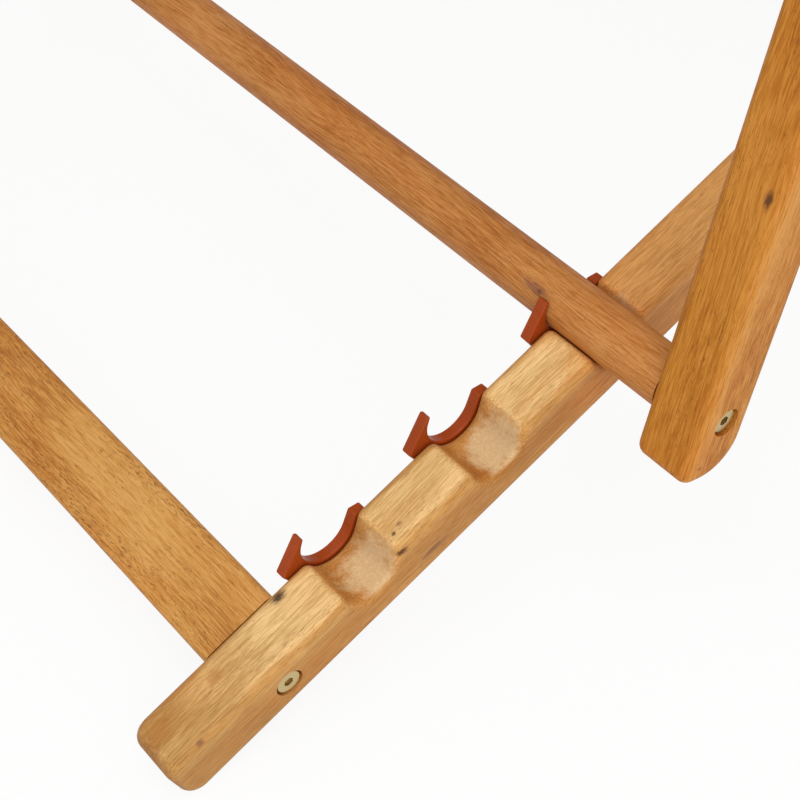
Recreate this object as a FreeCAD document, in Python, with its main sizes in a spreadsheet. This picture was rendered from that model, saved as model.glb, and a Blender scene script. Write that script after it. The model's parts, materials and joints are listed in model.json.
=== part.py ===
import FreeCAD, Part
import math
import os
import Sketcher

# Folding beach chair: a notched seat frame, a back frame crossing it, a prop frame whose dowel lies in the
# notches, and a canvas sling. The chair faces -Y, stands on Z = 0, and its right is the sitter's right, -X.
# Each frame has its own axes: x along its rails, y square to them in the side view, z to the chair's right.

# Driving sizes, in millimetres and degrees
SIZES = {
    # Timber shared by the three frames
    "rail_width": 28.5,
    "rail_depth": 29.5,
    "rail_edge_round": 5.0,
    "rail_end_round": 9.0,
    "bar_diameter": 25.0,
    "board_width": 38.0,
    "board_thickness": 24.0,
    "board_edge_round": 3.5,
    "board_set_down": 2.6,
    "foot_flat": 11.0,
    # Chair width
    "seat_clear_width": 434.0,
    "side_gap": 2.3,
    # Seat frame, measured along the rail from the front notch
    "seat_tilt": 22.3,
    "notch_to_rear_end": 253.1,
    "notch_to_board": 192.7,
    "notch_to_pivot": 340.0,
    "notch_to_parting": 135.0,
    "front_notch_pitch": 69.2,
    "rear_notch_pitch": 72.0,
    "pivot_to_front_bar": 405.0,
    "pivot_to_seat_front": 430.0,
    # Back and prop frames
    "prop_angle": 54.9,
    "prop_length": 431.0,
    "prop_top_end": 21.5,
    "prop_low_end": 29.5,
    "prop_heel_round": 5.8,
    "prop_toe_round": 19.0,
    "pivot_to_top_bar": 775.0,
    "pivot_to_back_top": 800.0,
    "foot_to_board": 42.0,
    # Notches and their clips
    "notch_clearance": 0.4,
    "lift_out_angle": 51.5,
    "notch_lip_round": 4.0,
    "clip_thickness": 5.4,
    "clip_ramp_angle": 38.0,
    "clip_rear_reach": 24.5,
    "clip_hook_length": 3.2,
    "clip_front_angle": 46.0,
    "clip_front_length": 8.0,
    "clip_nose_length": 5.2,
    "clip_nose_drop": 2.3,
    "clip_plate_drop": 22.3,
    "clip_plate_reach": 19.6,
    "clip_corner_round": 3.6,
    "clip_tip_round": 0.6,
    "clip_rim_round": 0.9,
    "clip_screw_reach": 12.9,
    "clip_screw_drop": 17.0,
    "clip_screw_diameter": 3.5,
    "clip_screw_length": 20.0,
    "clip_screw_head": 7.0,
    # Recessed hex-socket screws of the frames
    "screw_diameter": 6.0,
    "screw_length": 60.0,
    "screw_head_diameter": 11.8,
    "screw_head_height": 3.6,
    "screw_key": 4.0,
    "screw_key_depth": 2.4,
    "screw_bore_diameter": 13.0,
    "rail_head_recess": 0.7,
    "leg_head_recess": 1.4,
    # Locating pins of the boards
    "pin_diameter": 8.0,
    "pin_length": 30.0,
    "pin_spacing": 22.0,
    # Pivot bolts, nuts and washers
    "bolt_diameter": 8.0,
    "bolt_head_diameter": 14.0,
    "bolt_head_height": 5.0,
    "bolt_key": 5.0,
    "bolt_key_depth": 3.0,
    "bolt_bore_diameter": 18.5,
    "bolt_recess": 1.5,
    "bolt_end": 1.0,
    "nut_key": 13.0,
    "nut_height": 6.5,
    "washer_diameter": 22.0,
    # Fits
    "fixed_fit": 0.05,
    "running_fit": 0.08,
    "side_play": 0.3,
    "bore_end_room": 1.0,
    # Sling
    "sling_width": 414.0,
    "sling_slack": 160.0,
    "sling_thickness": 1.6,
    "sleeve_thickness": 2.6,
    "sleeve_clearance": 0.4,
}

RIGHT = 1
LEFT = -1
SIDES = {"right": RIGHT, "left": LEFT}
NOTCHES = {
    "front": "0",
    "middle": "-Sizes.front_notch_pitch",
    "rear": "-(Sizes.front_notch_pitch + Sizes.rear_notch_pitch)",
}
# Share of a width that a round or a flat may take
END_ROUND_SHARE = 0.45
EDGE_ROUND_SHARE = 0.3
HEEL_ROUND_SHARE = 0.85
FLAT_SHARE = 0.9

# Cutting and picking
OVERCUT = 2.0
HEAD_CHAMFER = 0.5
NEAR = 0.01
UPRIGHT = 0.999
LEVEL = 1e-4

# Steps of the sling's hang
SLING_SPANS = 10
CATENARY_STEPS = 60
CATENARY_RANGE = (1e-6, 20.0)
TANGENT_STEPS = 12


def polar(length, degrees):
    """The two parts of a vector given by its length and its angle."""
    angle = math.radians(degrees)
    return length * math.cos(angle), length * math.sin(angle)


def side_point(tilt, front, height, x, y):
    """World Y and Z of a point of a frame whose x axis rises at tilt from the chair's front."""
    along = math.radians(tilt)
    return (
        -front - x * math.cos(along) + y * math.sin(along),
        height + x * math.sin(along) + y * math.cos(along),
    )


def lay_out_sides(size, place):
    """Distances from the middle plane: seat rails inside, back rails next, prop legs outside."""
    place["seat_inner"] = size["seat_clear_width"] / 2
    place["seat_outer"] = place["seat_inner"] + size["rail_width"]
    place["back_inner"] = place["seat_outer"] + size["side_gap"]
    place["back_outer"] = place["back_inner"] + size["rail_width"]
    place["leg_inner"] = place["back_outer"] + size["side_gap"]
    place["leg_outer"] = place["leg_inner"] + size["rail_width"]


def lay_out_frames(size, place):
    """Tilt of each frame, and the heights at which the flat-cut rail ends stand on the floor."""
    half = place["half_depth"]
    top_x, top_y = polar(size["prop_length"], size["prop_angle"])
    across = top_x - size["notch_to_pivot"]
    above = top_y + half
    place["pivot_to_prop"] = math.hypot(across, above)
    place["back_tilt"] = math.degrees(math.atan2(above, across)) + size["seat_tilt"]
    place["prop_tilt"] = size["prop_angle"] + size["seat_tilt"]
    corner = place["end_round"]
    flat_half = min(size["foot_flat"] / 2, FLAT_SHARE * corner)
    stand = math.sqrt(corner ** 2 - flat_half ** 2)
    rear_x = corner - size["notch_to_rear_end"]
    rear_y = corner - size["rail_depth"]
    place["notch_height"] = stand - side_point(size["seat_tilt"], 0, 0, rear_x, rear_y)[1]
    pivot_y, place["pivot_height"] = side_point(
        size["seat_tilt"], 0, place["notch_height"], size["notch_to_pivot"], -half
    )
    back = math.radians(place["back_tilt"])
    foot_drop = place["pivot_height"] - stand + (half - corner) * math.cos(back)
    place["foot_length"] = corner + foot_drop / math.sin(back)
    place["foot_board"] = size["foot_to_board"] - place["foot_length"]

    # The chair's middle, front to back, goes on the origin
    seat = (size["seat_tilt"], 0, 0)
    back = (place["back_tilt"], -pivot_y, 0)
    front_x = size["notch_to_pivot"] + size["pivot_to_seat_front"] - corner
    ends = [side_point(*seat, x, y)[0] for x in (rear_x, front_x) for y in (rear_y, -corner)]
    back_x = (corner - place["foot_length"], size["pivot_to_back_top"] - corner)
    ends += [side_point(*back, x, y)[0] for x in back_x for y in (corner - half, half - corner)]
    place["notch_front"] = (min(ends) + max(ends)) / 2
    place["pivot_front"] = place["notch_front"] - pivot_y


def lay_out_notch(size, place):
    """Profile of a notch and its clip about the axis of the seated dowel."""
    seat = size["bar_diameter"] / 2 + size["notch_clearance"]
    lift = size["lift_out_angle"]
    place["notch_radius"] = seat
    place["lip_low_x"], place["lip_low_y"] = polar(seat, lift - 90)
    rise = OVERCUT - place["lip_low_y"]
    place["lip_high_x"] = place["lip_low_x"] + rise / math.tan(math.radians(lift))
    place["lip_high_y"] = OVERCUT
    place["lip_top_x"] = place["lip_low_x"] - place["lip_low_y"] / math.tan(math.radians(lift))
    place["hook_root_x"], place["hook_root_y"] = polar(seat, lift + 90)
    hook_x, hook_y = polar(size["clip_hook_length"], lift)
    place["hook_in_x"] = place["hook_root_x"] + hook_x
    place["hook_in_y"] = place["hook_root_y"] + hook_y
    ramp_x, ramp_y = polar(1.0, size["clip_ramp_angle"])
    along = (place["hook_in_x"] + size["clip_rear_reach"]) * ramp_x + place["hook_in_y"] * ramp_y
    place["hook_out_x"] = along * ramp_x - size["clip_rear_reach"]
    place["hook_out_y"] = along * ramp_y
    place["front_low_x"], place["front_low_y"] = polar(seat, size["clip_front_angle"] - 90)
    front_x, front_y = polar(size["clip_front_length"], size["clip_front_angle"])
    place["front_top_x"] = place["front_low_x"] + front_x
    place["front_top_y"] = place["front_low_y"] + front_y
    place["nose_x"] = place["front_top_x"] + size["clip_nose_length"]
    place["nose_y"] = place["front_top_y"] - size["clip_nose_drop"]


def lay_out_hardware(size, place):
    """Depths of the recesses, and where the pivot bolts' heads and nuts seat."""
    place["rail_bore_depth"] = size["rail_head_recess"] + size["screw_head_height"]
    place["leg_bore_depth"] = size["leg_head_recess"] + size["screw_head_height"]
    place["rail_screw_bite"] = size["screw_length"] - size["rail_width"] + place["rail_bore_depth"]
    place["leg_screw_bite"] = size["screw_length"] - size["rail_width"] + place["leg_bore_depth"]
    place["bolt_bore_depth"] = size["bolt_recess"] + size["bolt_head_height"]
    place["nut_bore_depth"] = size["bolt_recess"] + size["nut_height"]
    place["washer_thickness"] = size["side_gap"] - size["side_play"]
    place["main_head"] = place["seat_inner"] + place["bolt_bore_depth"]
    place["main_nut"] = place["back_outer"] - place["nut_bore_depth"] + size["side_play"]
    main_end = place["main_nut"] + size["nut_height"] + size["bolt_end"]
    place["main_bolt_length"] = main_end - place["main_head"]
    place["prop_head"] = place["leg_outer"] - place["bolt_bore_depth"] + size["side_play"]
    place["prop_nut"] = place["back_inner"] + size["bolt_recess"]
    place["prop_bolt_length"] = place["prop_head"] - place["prop_nut"] + size["bolt_end"]


def solve_layout(size):
    """Places that follow from the driving sizes."""
    thinnest = min(EDGE_ROUND_SHARE * size["rail_width"], HEEL_ROUND_SHARE * size["prop_heel_round"])
    place = {
        "half_depth": size["rail_depth"] / 2,
        "end_round": min(size["rail_end_round"], END_ROUND_SHARE * size["rail_depth"]),
        "edge_round": min(size["rail_edge_round"], thinnest),
        "board_middle": size["board_set_down"] + size["board_thickness"] / 2,
    }
    lay_out_sides(size, place)
    lay_out_frames(size, place)
    lay_out_notch(size, place)
    lay_out_hardware(size, place)
    return place


class Chair:
    """The document, its two sheets of numbers and the pieces made in it."""

    def __init__(self):
        self.doc = FreeCAD.newDocument("folding_beach_chair")
        self.size = dict(SIZES)
        self.place = solve_layout(self.size)
        self.add_sheet("Sizes", self.size)
        self.add_sheet("Layout", self.place)
        self.seat = self.frame(self.size["seat_tilt"], "notch")
        self.back = self.frame(self.place["back_tilt"], "pivot")
        self.prop = self.frame(self.place["prop_tilt"], "notch")
        self.nodes = []

    def add_sheet(self, name, values):
        """A spreadsheet with one named number on each row."""
        sheet = self.doc.addObject("Spreadsheet::Sheet", name)
        for row, (alias, value) in enumerate(values.items(), start=1):
            sheet.set(f"A{row}", alias)
            sheet.set(f"B{row}", f"{value:.9f}")
            sheet.setAlias(f"B{row}", alias)
        self.doc.recompute()

    def frame(self, tilt, origin):
        """Placement of a frame by its tilt and the axis that its own origin lies on."""
        along = math.radians(tilt)
        forward = FreeCAD.Vector(0, -math.cos(along), math.sin(along))
        square = FreeCAD.Vector(0, math.sin(along), math.cos(along))
        turn = FreeCAD.Rotation(forward, square, FreeCAD.Vector(-1, 0, 0), "XYZ")
        base = FreeCAD.Vector(0, -self.place[f"{origin}_front"], self.place[f"{origin}_height"])
        return FreeCAD.Placement(base, turn)

    def beside(self, frame, lateral):
        """A frame's placement moved sideways, so that its z = 0 lies at the given world X."""
        return FreeCAD.Placement(frame.Base + FreeCAD.Vector(lateral, 0, 0), frame.Rotation)

    def spot(self, frame, point, lateral, side, facing=1):
        """A place on one side of the chair whose z points away from the middle, or towards it."""
        base = frame.multVec(self.vector(point))
        base.x = -side * lateral
        turn = frame.Rotation
        if side * facing == LEFT:
            turn = turn.multiply(FreeCAD.Rotation(FreeCAD.Vector(0, 1, 0), 180))
        return FreeCAD.Placement(base, turn)

    def number(self, expression):
        """The value of an expression in the sheets' names."""
        return float(self.doc.getObject("Layout").evalExpression(expression))

    def vector(self, point):
        """The place of a pair of expressions in the plane of a frame."""
        return FreeCAD.Vector(self.number(point[0]), self.number(point[1]), 0)

    def body(self, label):
        """An empty body with its label."""
        body = self.doc.addObject("PartDesign::Body", label)
        body.Label = label
        return body

    def keep(self, node, placement):
        """Puts a finished piece in its place and lists it for writing."""
        self.doc.recompute()
        node.Placement = placement
        self.nodes.append(node)

    def outline(self, body, name, polygons):
        """A sketch of closed polygons whose corners are bound to the sheets."""
        sketch = body.newObject("Sketcher::SketchObject", f"{body.Name}_{name}")
        plane = next(part for part in body.Origin.OriginFeatures if part.Role == "XY_Plane")
        sketch.AttachmentSupport = [(plane, "")]
        sketch.MapMode = "FlatFace"
        for corners in polygons:
            first = sketch.GeometryCount
            count = len(corners)
            spots = [self.vector(corner) for corner in corners]
            for index, start in enumerate(spots):
                sketch.addGeometry(Part.LineSegment(start, spots[(index + 1) % count]))
            for index, (x, y) in enumerate(corners):
                line = first + index
                following = first + (index + 1) % count
                sketch.addConstraint(Sketcher.Constraint("Coincident", line, 2, following, 1))
                across = Sketcher.Constraint("DistanceX", -1, 1, line, 1, spots[index].x)
                sketch.setExpression(f"Constraints[{sketch.addConstraint(across)}]", x)
                above = Sketcher.Constraint("DistanceY", -1, 1, line, 1, spots[index].y)
                sketch.setExpression(f"Constraints[{sketch.addConstraint(above)}]", y)
        return sketch

    def pad(self, body, sketch, length):
        """The sketch raised along z."""
        pad = body.newObject("PartDesign::Pad", f"{body.Name}_pad")
        pad.Profile = sketch
        pad.setExpression("Length", length)
        self.doc.recompute()

    def pocket(self, body, sketch):
        """The sketch cut along z through the whole piece."""
        before = body.Shape.Volume
        pocket = body.newObject("PartDesign::Pocket", f"{sketch.Name}_cut")
        pocket.Profile = sketch
        pocket.Type = "ThroughAll"
        pocket.Reversed = True
        self.doc.recompute()
        if not body.Shape.Volume < before:
            raise RuntimeError(f"{pocket.Name} cut nothing")

    def round_edges(self, body, names, radius, kind="Fillet", value="Radius"):
        """A fillet, or a chamfer, on edges of the body's last feature."""
        base = body.Tip
        feature = body.newObject(f"PartDesign::{kind}", f"{base.Name}_round")
        feature.Base = (base, names)
        feature.setExpression(value, radius)
        self.doc.recompute()

    def cylinder(self, kind, body, name, base, radius, height):
        """A cylinder along z, Additive or Subtractive, with its size and place bound to the sheets."""
        feature = body.newObject(f"PartDesign::{kind}Cylinder", f"{body.Name}_{name}")
        feature.setExpression("Radius", radius)
        feature.setExpression("Height", height)
        for axis, value in zip("xyz", base):
            feature.setExpression(f"Placement.Base.{axis}", value)

    def drill(self, body, name, point, radius, depths, side):
        """A bore in a rail between two depths below its outer face."""
        start, end = depths
        low = start if side == LEFT else f"Sizes.rail_width - ({end})"
        self.cylinder("Subtractive", body, name, (*point, low), radius, f"({end}) - ({start})")

    def group(self, label, pattern, placements):
        """One node of equal pieces, each a solid of its own."""
        links = []
        for index, placement in enumerate(placements, start=1):
            link = self.doc.addObject("App::Link", f"{label}_{index}")
            link.setLink(pattern)
            link.Placement = placement
            links.append(link)
        node = self.doc.addObject("Part::Compound", label)
        node.Label = label
        node.Links = links
        self.doc.recompute()
        self.nodes.append(node)


def edges_along_z(shape, corners=None):
    """Names of the straight edges along z, all of them or those that stand on the corners."""
    names = []
    for number, edge in enumerate(shape.Edges, start=1):
        box = edge.BoundBox
        foot = FreeCAD.Vector(box.Center.x, box.Center.y, 0)
        wanted = corners is None or any(foot.distanceToPoint(corner) < NEAR for corner in corners)
        if wanted and box.ZLength > UPRIGHT * edge.Length:
            names.append(f"Edge{number}")
    return names


def edges_at_level(shape, levels):
    """Names of the edges that lie wholly at one of the levels of z."""
    names = []
    for number, edge in enumerate(shape.Edges, start=1):
        box = edge.BoundBox
        if any(max(abs(box.ZMin - level), abs(box.ZMax - level)) < LEVEL for level in levels):
            names.append(f"Edge{number}")
    return names


# Depths below a rail's outer face
THROUGH = (f"{-OVERCUT}", f"Sizes.rail_width + {OVERCUT}")


def outer_bore(depth):
    """Depths of a recess in a rail's outer face."""
    return f"{-OVERCUT}", depth


def inner_bore(depth):
    """Depths of a recess in a rail's inner face."""
    return f"Sizes.rail_width - ({depth})", f"Sizes.rail_width + {OVERCUT}"


FIXED_SCREW = "Sizes.screw_diameter / 2 + Sizes.fixed_fit"
FIXED_BOLT = "Sizes.bolt_diameter / 2 + Sizes.fixed_fit"
RUNNING_BOLT = "Sizes.bolt_diameter / 2 + Sizes.running_fit"
FIXED_PIN = "Sizes.pin_diameter / 2 + Sizes.fixed_fit"
CLIP_PILOT = "Sizes.clip_screw_diameter / 2 + Sizes.fixed_fit"
SCREW_BORE = "Sizes.screw_bore_diameter / 2"
BOLT_BORE = "Sizes.bolt_bore_diameter / 2"

# Places in the frames' own axes
REAR_BOARD = ("-Sizes.notch_to_board", "-Layout.board_middle")
FOOT_BOARD = ("Layout.foot_board", "0")
FRONT_BAR = ("Sizes.notch_to_pivot + Sizes.pivot_to_front_bar", "-Layout.half_depth")
TOP_BAR = ("Sizes.pivot_to_top_bar", "0")
SEAT_PIVOT = ("Sizes.notch_to_pivot", "-Layout.half_depth")
BACK_PIVOT = ("0", "0")
BACK_PROP = ("Layout.pivot_to_prop", "0")
PROP_PIVOT = ("Sizes.prop_length", "0")
DOWEL = ("0", "0")


def pin_points(board):
    """The two places of the locating pins beside a board's screw."""
    return [(f"{board[0]} {sign} Sizes.pin_spacing / 2", board[1]) for sign in "+-"]


def clip_screw_points(notch):
    """The two places of the screws that hold one clip."""
    return [(f"{notch} {sign} Sizes.clip_screw_reach", "-Sizes.clip_screw_drop") for sign in "+-"]


def rail_blank(chair, label, ends, faces, own_rounds=None):
    """A straight rail with rounded ends and edges. An end corner can have a round of its own."""
    body = chair.body(label)
    corners = [(ends[0], faces[0]), (ends[1], faces[0]), (ends[1], faces[1]), (ends[0], faces[1])]
    chair.pad(body, chair.outline(body, "side", [corners]), "Sizes.rail_width")
    own_rounds = own_rounds or {}
    plain = [chair.vector(corner) for corner in corners if corner not in own_rounds]
    chair.round_edges(body, edges_along_z(body.Shape, plain), "Layout.end_round")
    for corner, rounding in own_rounds.items():
        chair.round_edges(body, edges_along_z(body.Shape, [chair.vector(corner)]), rounding)
    rims = edges_at_level(body.Shape, (0.0, chair.size["rail_width"]))
    chair.round_edges(body, rims, "Layout.edge_round")
    return body


def cut_foot(chair, body, tilt, height, end):
    """Cuts a rail's end flat where it stands on the floor."""
    turn = FreeCAD.Rotation(FreeCAD.Vector(0, 0, 1), -tilt)
    end_point = turn.inverted().multVec(chair.vector(end))
    depth = chair.size["rail_depth"]
    corner = FreeCAD.Vector(end_point.x - 2 * depth, -height - depth, -OVERCUT)
    block = body.newObject("PartDesign::SubtractiveBox", f"{body.Name}_foot")
    block.setExpression("Length", "4 * Sizes.rail_depth")
    block.setExpression("Width", "Sizes.rail_depth")
    block.setExpression("Height", f"Sizes.rail_width + 2 * {OVERCUT}")
    block.Placement = FreeCAD.Placement(turn.multVec(corner), turn)


def drill_board(chair, body, board, side):
    """Holes in a rail for the screw and pins of a board."""
    chair.drill(body, "board_screw", board, FIXED_SCREW, THROUGH, side)
    chair.drill(body, "board_head", board, SCREW_BORE, outer_bore("Layout.rail_bore_depth"), side)
    for index, point in enumerate(pin_points(board)):
        depth = inner_bore("Sizes.pin_length / 2")
        chair.drill(body, f"board_pin_{index}", point, FIXED_PIN, depth, side)


def drill_bar(chair, body, bar, depth, side):
    """Holes in a rail for the screw that holds a round bar."""
    chair.drill(body, "bar_screw", bar, FIXED_SCREW, THROUGH, side)
    chair.drill(body, "bar_head", bar, SCREW_BORE, outer_bore(depth), side)


def lateral_base(chair, side, inner, outer):
    """World X of the z = 0 face of a piece that lies between two distances from the middle."""
    return -chair.place[inner] if side == RIGHT else chair.place[outer]


def part_timber(chair, body, label, place):
    """A timber as two solids that meet on a plain face, so that the hulls can follow its notches."""
    chair.doc.recompute()
    timber = body.Shape
    reach = timber.BoundBox.DiagonalLength
    corner = FreeCAD.Vector(place, -reach / 2, -reach / 2)
    ahead = Part.makeBox(reach, reach, reach, corner)
    node = chair.doc.addObject("Part::Feature", label)
    node.Label = label
    node.Shape = Part.makeCompound([timber.cut(ahead), timber.common(ahead)])
    return node


def seat_rail(chair, name, side):
    """A seat rail with its notches, holes and the flat that it stands on."""
    front = "Sizes.notch_to_pivot + Sizes.pivot_to_seat_front"
    ends = ("-Sizes.notch_to_rear_end", front)
    body = rail_blank(chair, f"seat_timber_{name}", ends, ("-Sizes.rail_depth", "0"))
    lips = []
    for notch, spot in NOTCHES.items():
        chair.drill(body, f"{notch}_notch", (spot, "0"), "Layout.notch_radius", THROUGH, side)
        lips.append([
            (f"{spot} - Layout.notch_radius", "0"),
            (f"{spot} + Layout.lip_low_x", "Layout.lip_low_y"),
            (f"{spot} + Layout.lip_high_x", "Layout.lip_high_y"),
            (f"{spot} - Layout.notch_radius", "Layout.lip_high_y"),
        ])
        for index, point in enumerate(clip_screw_points(spot)):
            depth = inner_bore("Sizes.clip_screw_length - Sizes.clip_thickness + Sizes.bore_end_room")
            chair.drill(body, f"{notch}_clip_{index}", point, CLIP_PILOT, depth, side)
    chair.doc.recompute()
    chair.pocket(body, chair.outline(body, "lips", lips))
    lip_edges = [chair.vector((f"{spot} + Layout.lip_top_x", "0")) for spot in NOTCHES.values()]
    chair.round_edges(body, edges_along_z(body.Shape, lip_edges), "Sizes.notch_lip_round")
    drill_board(chair, body, REAR_BOARD, side)
    drill_bar(chair, body, FRONT_BAR, "Layout.rail_bore_depth", side)
    chair.drill(body, "pivot", SEAT_PIVOT, FIXED_BOLT, THROUGH, side)
    chair.drill(body, "pivot_head", SEAT_PIVOT, BOLT_BORE, inner_bore("Layout.bolt_bore_depth"), side)
    low_corner = (ends[0], "-Sizes.rail_depth")
    cut_foot(chair, body, chair.size["seat_tilt"], chair.place["notch_height"], low_corner)
    rail = part_timber(chair, body, f"seat_rail_{name}", chair.size["notch_to_parting"])
    chair.keep(rail, chair.beside(chair.seat, lateral_base(chair, side, "seat_inner", "seat_outer")))


def back_rail(chair, name, side):
    """A back rail with its holes and the flat that it stands on."""
    ends = ("-Layout.foot_length", "Sizes.pivot_to_back_top")
    body = rail_blank(chair, f"back_rail_{name}", ends, ("-Layout.half_depth", "Layout.half_depth"))
    chair.drill(body, "pivot", BACK_PIVOT, RUNNING_BOLT, THROUGH, side)
    chair.drill(body, "pivot_nut", BACK_PIVOT, BOLT_BORE, outer_bore("Layout.nut_bore_depth"), side)
    chair.drill(body, "prop", BACK_PROP, FIXED_BOLT, THROUGH, side)
    chair.drill(body, "prop_nut", BACK_PROP, BOLT_BORE, inner_bore("Layout.nut_bore_depth"), side)
    drill_board(chair, body, FOOT_BOARD, side)
    drill_bar(chair, body, TOP_BAR, "Layout.rail_bore_depth", side)
    cut_foot(chair, body, chair.place["back_tilt"], chair.place["pivot_height"], (ends[0], "0"))
    chair.keep(body, chair.beside(chair.back, lateral_base(chair, side, "back_inner", "back_outer")))


def prop_leg(chair, name, side):
    """A prop leg, whose low end has a tight round at the rear and a wide one at the front."""
    ends = ("-Sizes.prop_low_end", "Sizes.prop_length + Sizes.prop_top_end")
    faces = ("-Layout.half_depth", "Layout.half_depth")
    own_rounds = {(ends[0], faces[1]): "Sizes.prop_heel_round", (ends[0], faces[0]): "Sizes.prop_toe_round"}
    body = rail_blank(chair, f"prop_leg_{name}", ends, faces, own_rounds)
    drill_bar(chair, body, DOWEL, "Layout.leg_bore_depth", side)
    chair.drill(body, "pivot", PROP_PIVOT, RUNNING_BOLT, THROUGH, side)
    chair.drill(body, "pivot_head", PROP_PIVOT, BOLT_BORE, outer_bore("Layout.bolt_bore_depth"), side)
    chair.keep(body, chair.beside(chair.prop, lateral_base(chair, side, "leg_inner", "leg_outer")))


def bore_ends(chair, body, name, point, radius, depth, length):
    """Equal bores in both ends of a cross piece."""
    for end, low in (("near", f"{-OVERCUT}"), ("far", f"{length} - ({depth})")):
        base = (*point, low)
        chair.cylinder("Subtractive", body, f"{name}_{end}", base, radius, f"({depth}) + {OVERCUT}")


def cross_board(chair, label, board, frame, inner):
    """A board with rounded long edges, screwed and pinned between two rails."""
    body = chair.body(label)
    x, y = board
    left, right = f"{x} - Sizes.board_width / 2", f"{x} + Sizes.board_width / 2"
    low, high = f"{y} - Sizes.board_thickness / 2", f"{y} + Sizes.board_thickness / 2"
    length = f"2 * Layout.{inner}"
    corners = [(left, low), (right, low), (right, high), (left, high)]
    chair.pad(body, chair.outline(body, "section", [corners]), length)
    chair.round_edges(body, edges_along_z(body.Shape), "Sizes.board_edge_round")
    depth = "Layout.rail_screw_bite + Sizes.bore_end_room"
    bore_ends(chair, body, "screw", board, FIXED_SCREW, depth, length)
    for index, point in enumerate(pin_points(board)):
        bore_ends(chair, body, f"pin_{index}", point, FIXED_PIN, "Sizes.pin_length / 2", length)
    chair.keep(body, chair.beside(frame, chair.place[inner]))


def cross_bar(chair, label, bar, frame, inner, bite):
    """A round bar screwed between two rails."""
    body = chair.body(label)
    length = f"2 * Layout.{inner}"
    chair.cylinder("Additive", body, "round", (*bar, "0"), "Sizes.bar_diameter / 2", length)
    bore_ends(chair, body, "screw", bar, FIXED_SCREW, f"{bite} + Sizes.bore_end_room", length)
    chair.keep(body, chair.beside(frame, chair.place[inner]))


def notch_clip(chair, name, side, notch):
    """A moulded clip on a rail's inner face: a ramped hook, a round seat, a front prong and a plate."""
    body = chair.body(f"notch_clip_{name}_{notch}")
    thickness = "Sizes.clip_thickness"
    plate = [
        ("Sizes.clip_plate_reach", "-Sizes.clip_plate_drop"),
        ("-Sizes.clip_plate_reach", "-Sizes.clip_plate_drop"),
    ]
    tips = [
        ("-Sizes.clip_rear_reach", "0"),
        ("Layout.hook_out_x", "Layout.hook_out_y"),
        ("Layout.hook_in_x", "Layout.hook_in_y"),
        ("Layout.front_top_x", "Layout.front_top_y"),
        ("Layout.nose_x", "Layout.nose_y"),
    ]
    roots = [("Layout.hook_root_x", "Layout.hook_root_y"), ("Layout.front_low_x", "Layout.front_low_y")]
    corners = [*tips[:3], *roots, *tips[3:], *plate]
    chair.pad(body, chair.outline(body, "profile", [corners]), thickness)
    for points, radius in ((plate, "Sizes.clip_corner_round"), (tips, "Sizes.clip_tip_round")):
        spots = [chair.vector(point) for point in points]
        chair.round_edges(body, edges_along_z(body.Shape, spots), radius)
    through = (f"{-OVERCUT}", f"{thickness} + 2 * {OVERCUT}")
    chair.cylinder("Subtractive", body, "seat", ("0", "0", through[0]), "Layout.notch_radius", through[1])
    chair.doc.recompute()
    rims = edges_at_level(body.Shape, (0.0, chair.size["clip_thickness"]))
    chair.round_edges(body, rims, "Sizes.clip_rim_round")
    for index, point in enumerate(clip_screw_points("0")):
        chair.cylinder("Subtractive", body, f"hole_{index}", (*point, through[0]), CLIP_PILOT, through[1])
        sink = body.newObject("PartDesign::SubtractiveCone", f"{body.Name}_sink_{index}")
        wide, narrow = ("Radius1", "Radius2") if side == RIGHT else ("Radius2", "Radius1")
        sink.setExpression(wide, "Sizes.clip_screw_head / 2 + Sizes.fixed_fit")
        sink.setExpression(narrow, CLIP_PILOT)
        sink.setExpression("Height", "(Sizes.clip_screw_head - Sizes.clip_screw_diameter) / 2")
        base = (*point, "0" if side == RIGHT else f"{thickness} - {sink.Name}.Height / 1 mm")
        for axis, value in zip("xyz", base):
            sink.setExpression(f"Placement.Base.{axis}", value)
    frame = FreeCAD.Placement(chair.seat.multVec(chair.vector((NOTCHES[notch], "0"))), chair.seat.Rotation)
    inner_face = chair.place["seat_inner"]
    lateral = chair.size["clip_thickness"] - inner_face if side == RIGHT else inner_face
    chair.keep(body, chair.beside(frame, lateral))


def socket_screw(chair, label, sizes, length):
    """A round-headed hex-socket screw along z, with the underside of its head at z = 0."""
    body = chair.body(label)
    head, height, shank, key, key_depth = (f"Sizes.{name}" for name in sizes)
    chair.cylinder("Additive", body, "head", ("0", "0", "0"), f"{head} / 2", height)
    chair.doc.recompute()
    top = edges_at_level(body.Shape, (chair.number(height),))
    chair.round_edges(body, top, f"{HEAD_CHAMFER}", "Chamfer", "Size")
    chair.cylinder("Additive", body, "shank", ("0", "0", f"-({length})"), f"{shank} / 2", length)
    socket = body.newObject("PartDesign::SubtractivePrism", f"{body.Name}_socket")
    socket.Polygon = 6
    socket.setExpression("Circumradius", f"{key} / sqrt(3)")
    socket.setExpression("Height", f"{key_depth} + {OVERCUT}")
    socket.setExpression("Placement.Base.z", f"{height} - {key_depth}")
    chair.doc.recompute()
    return body


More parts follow.
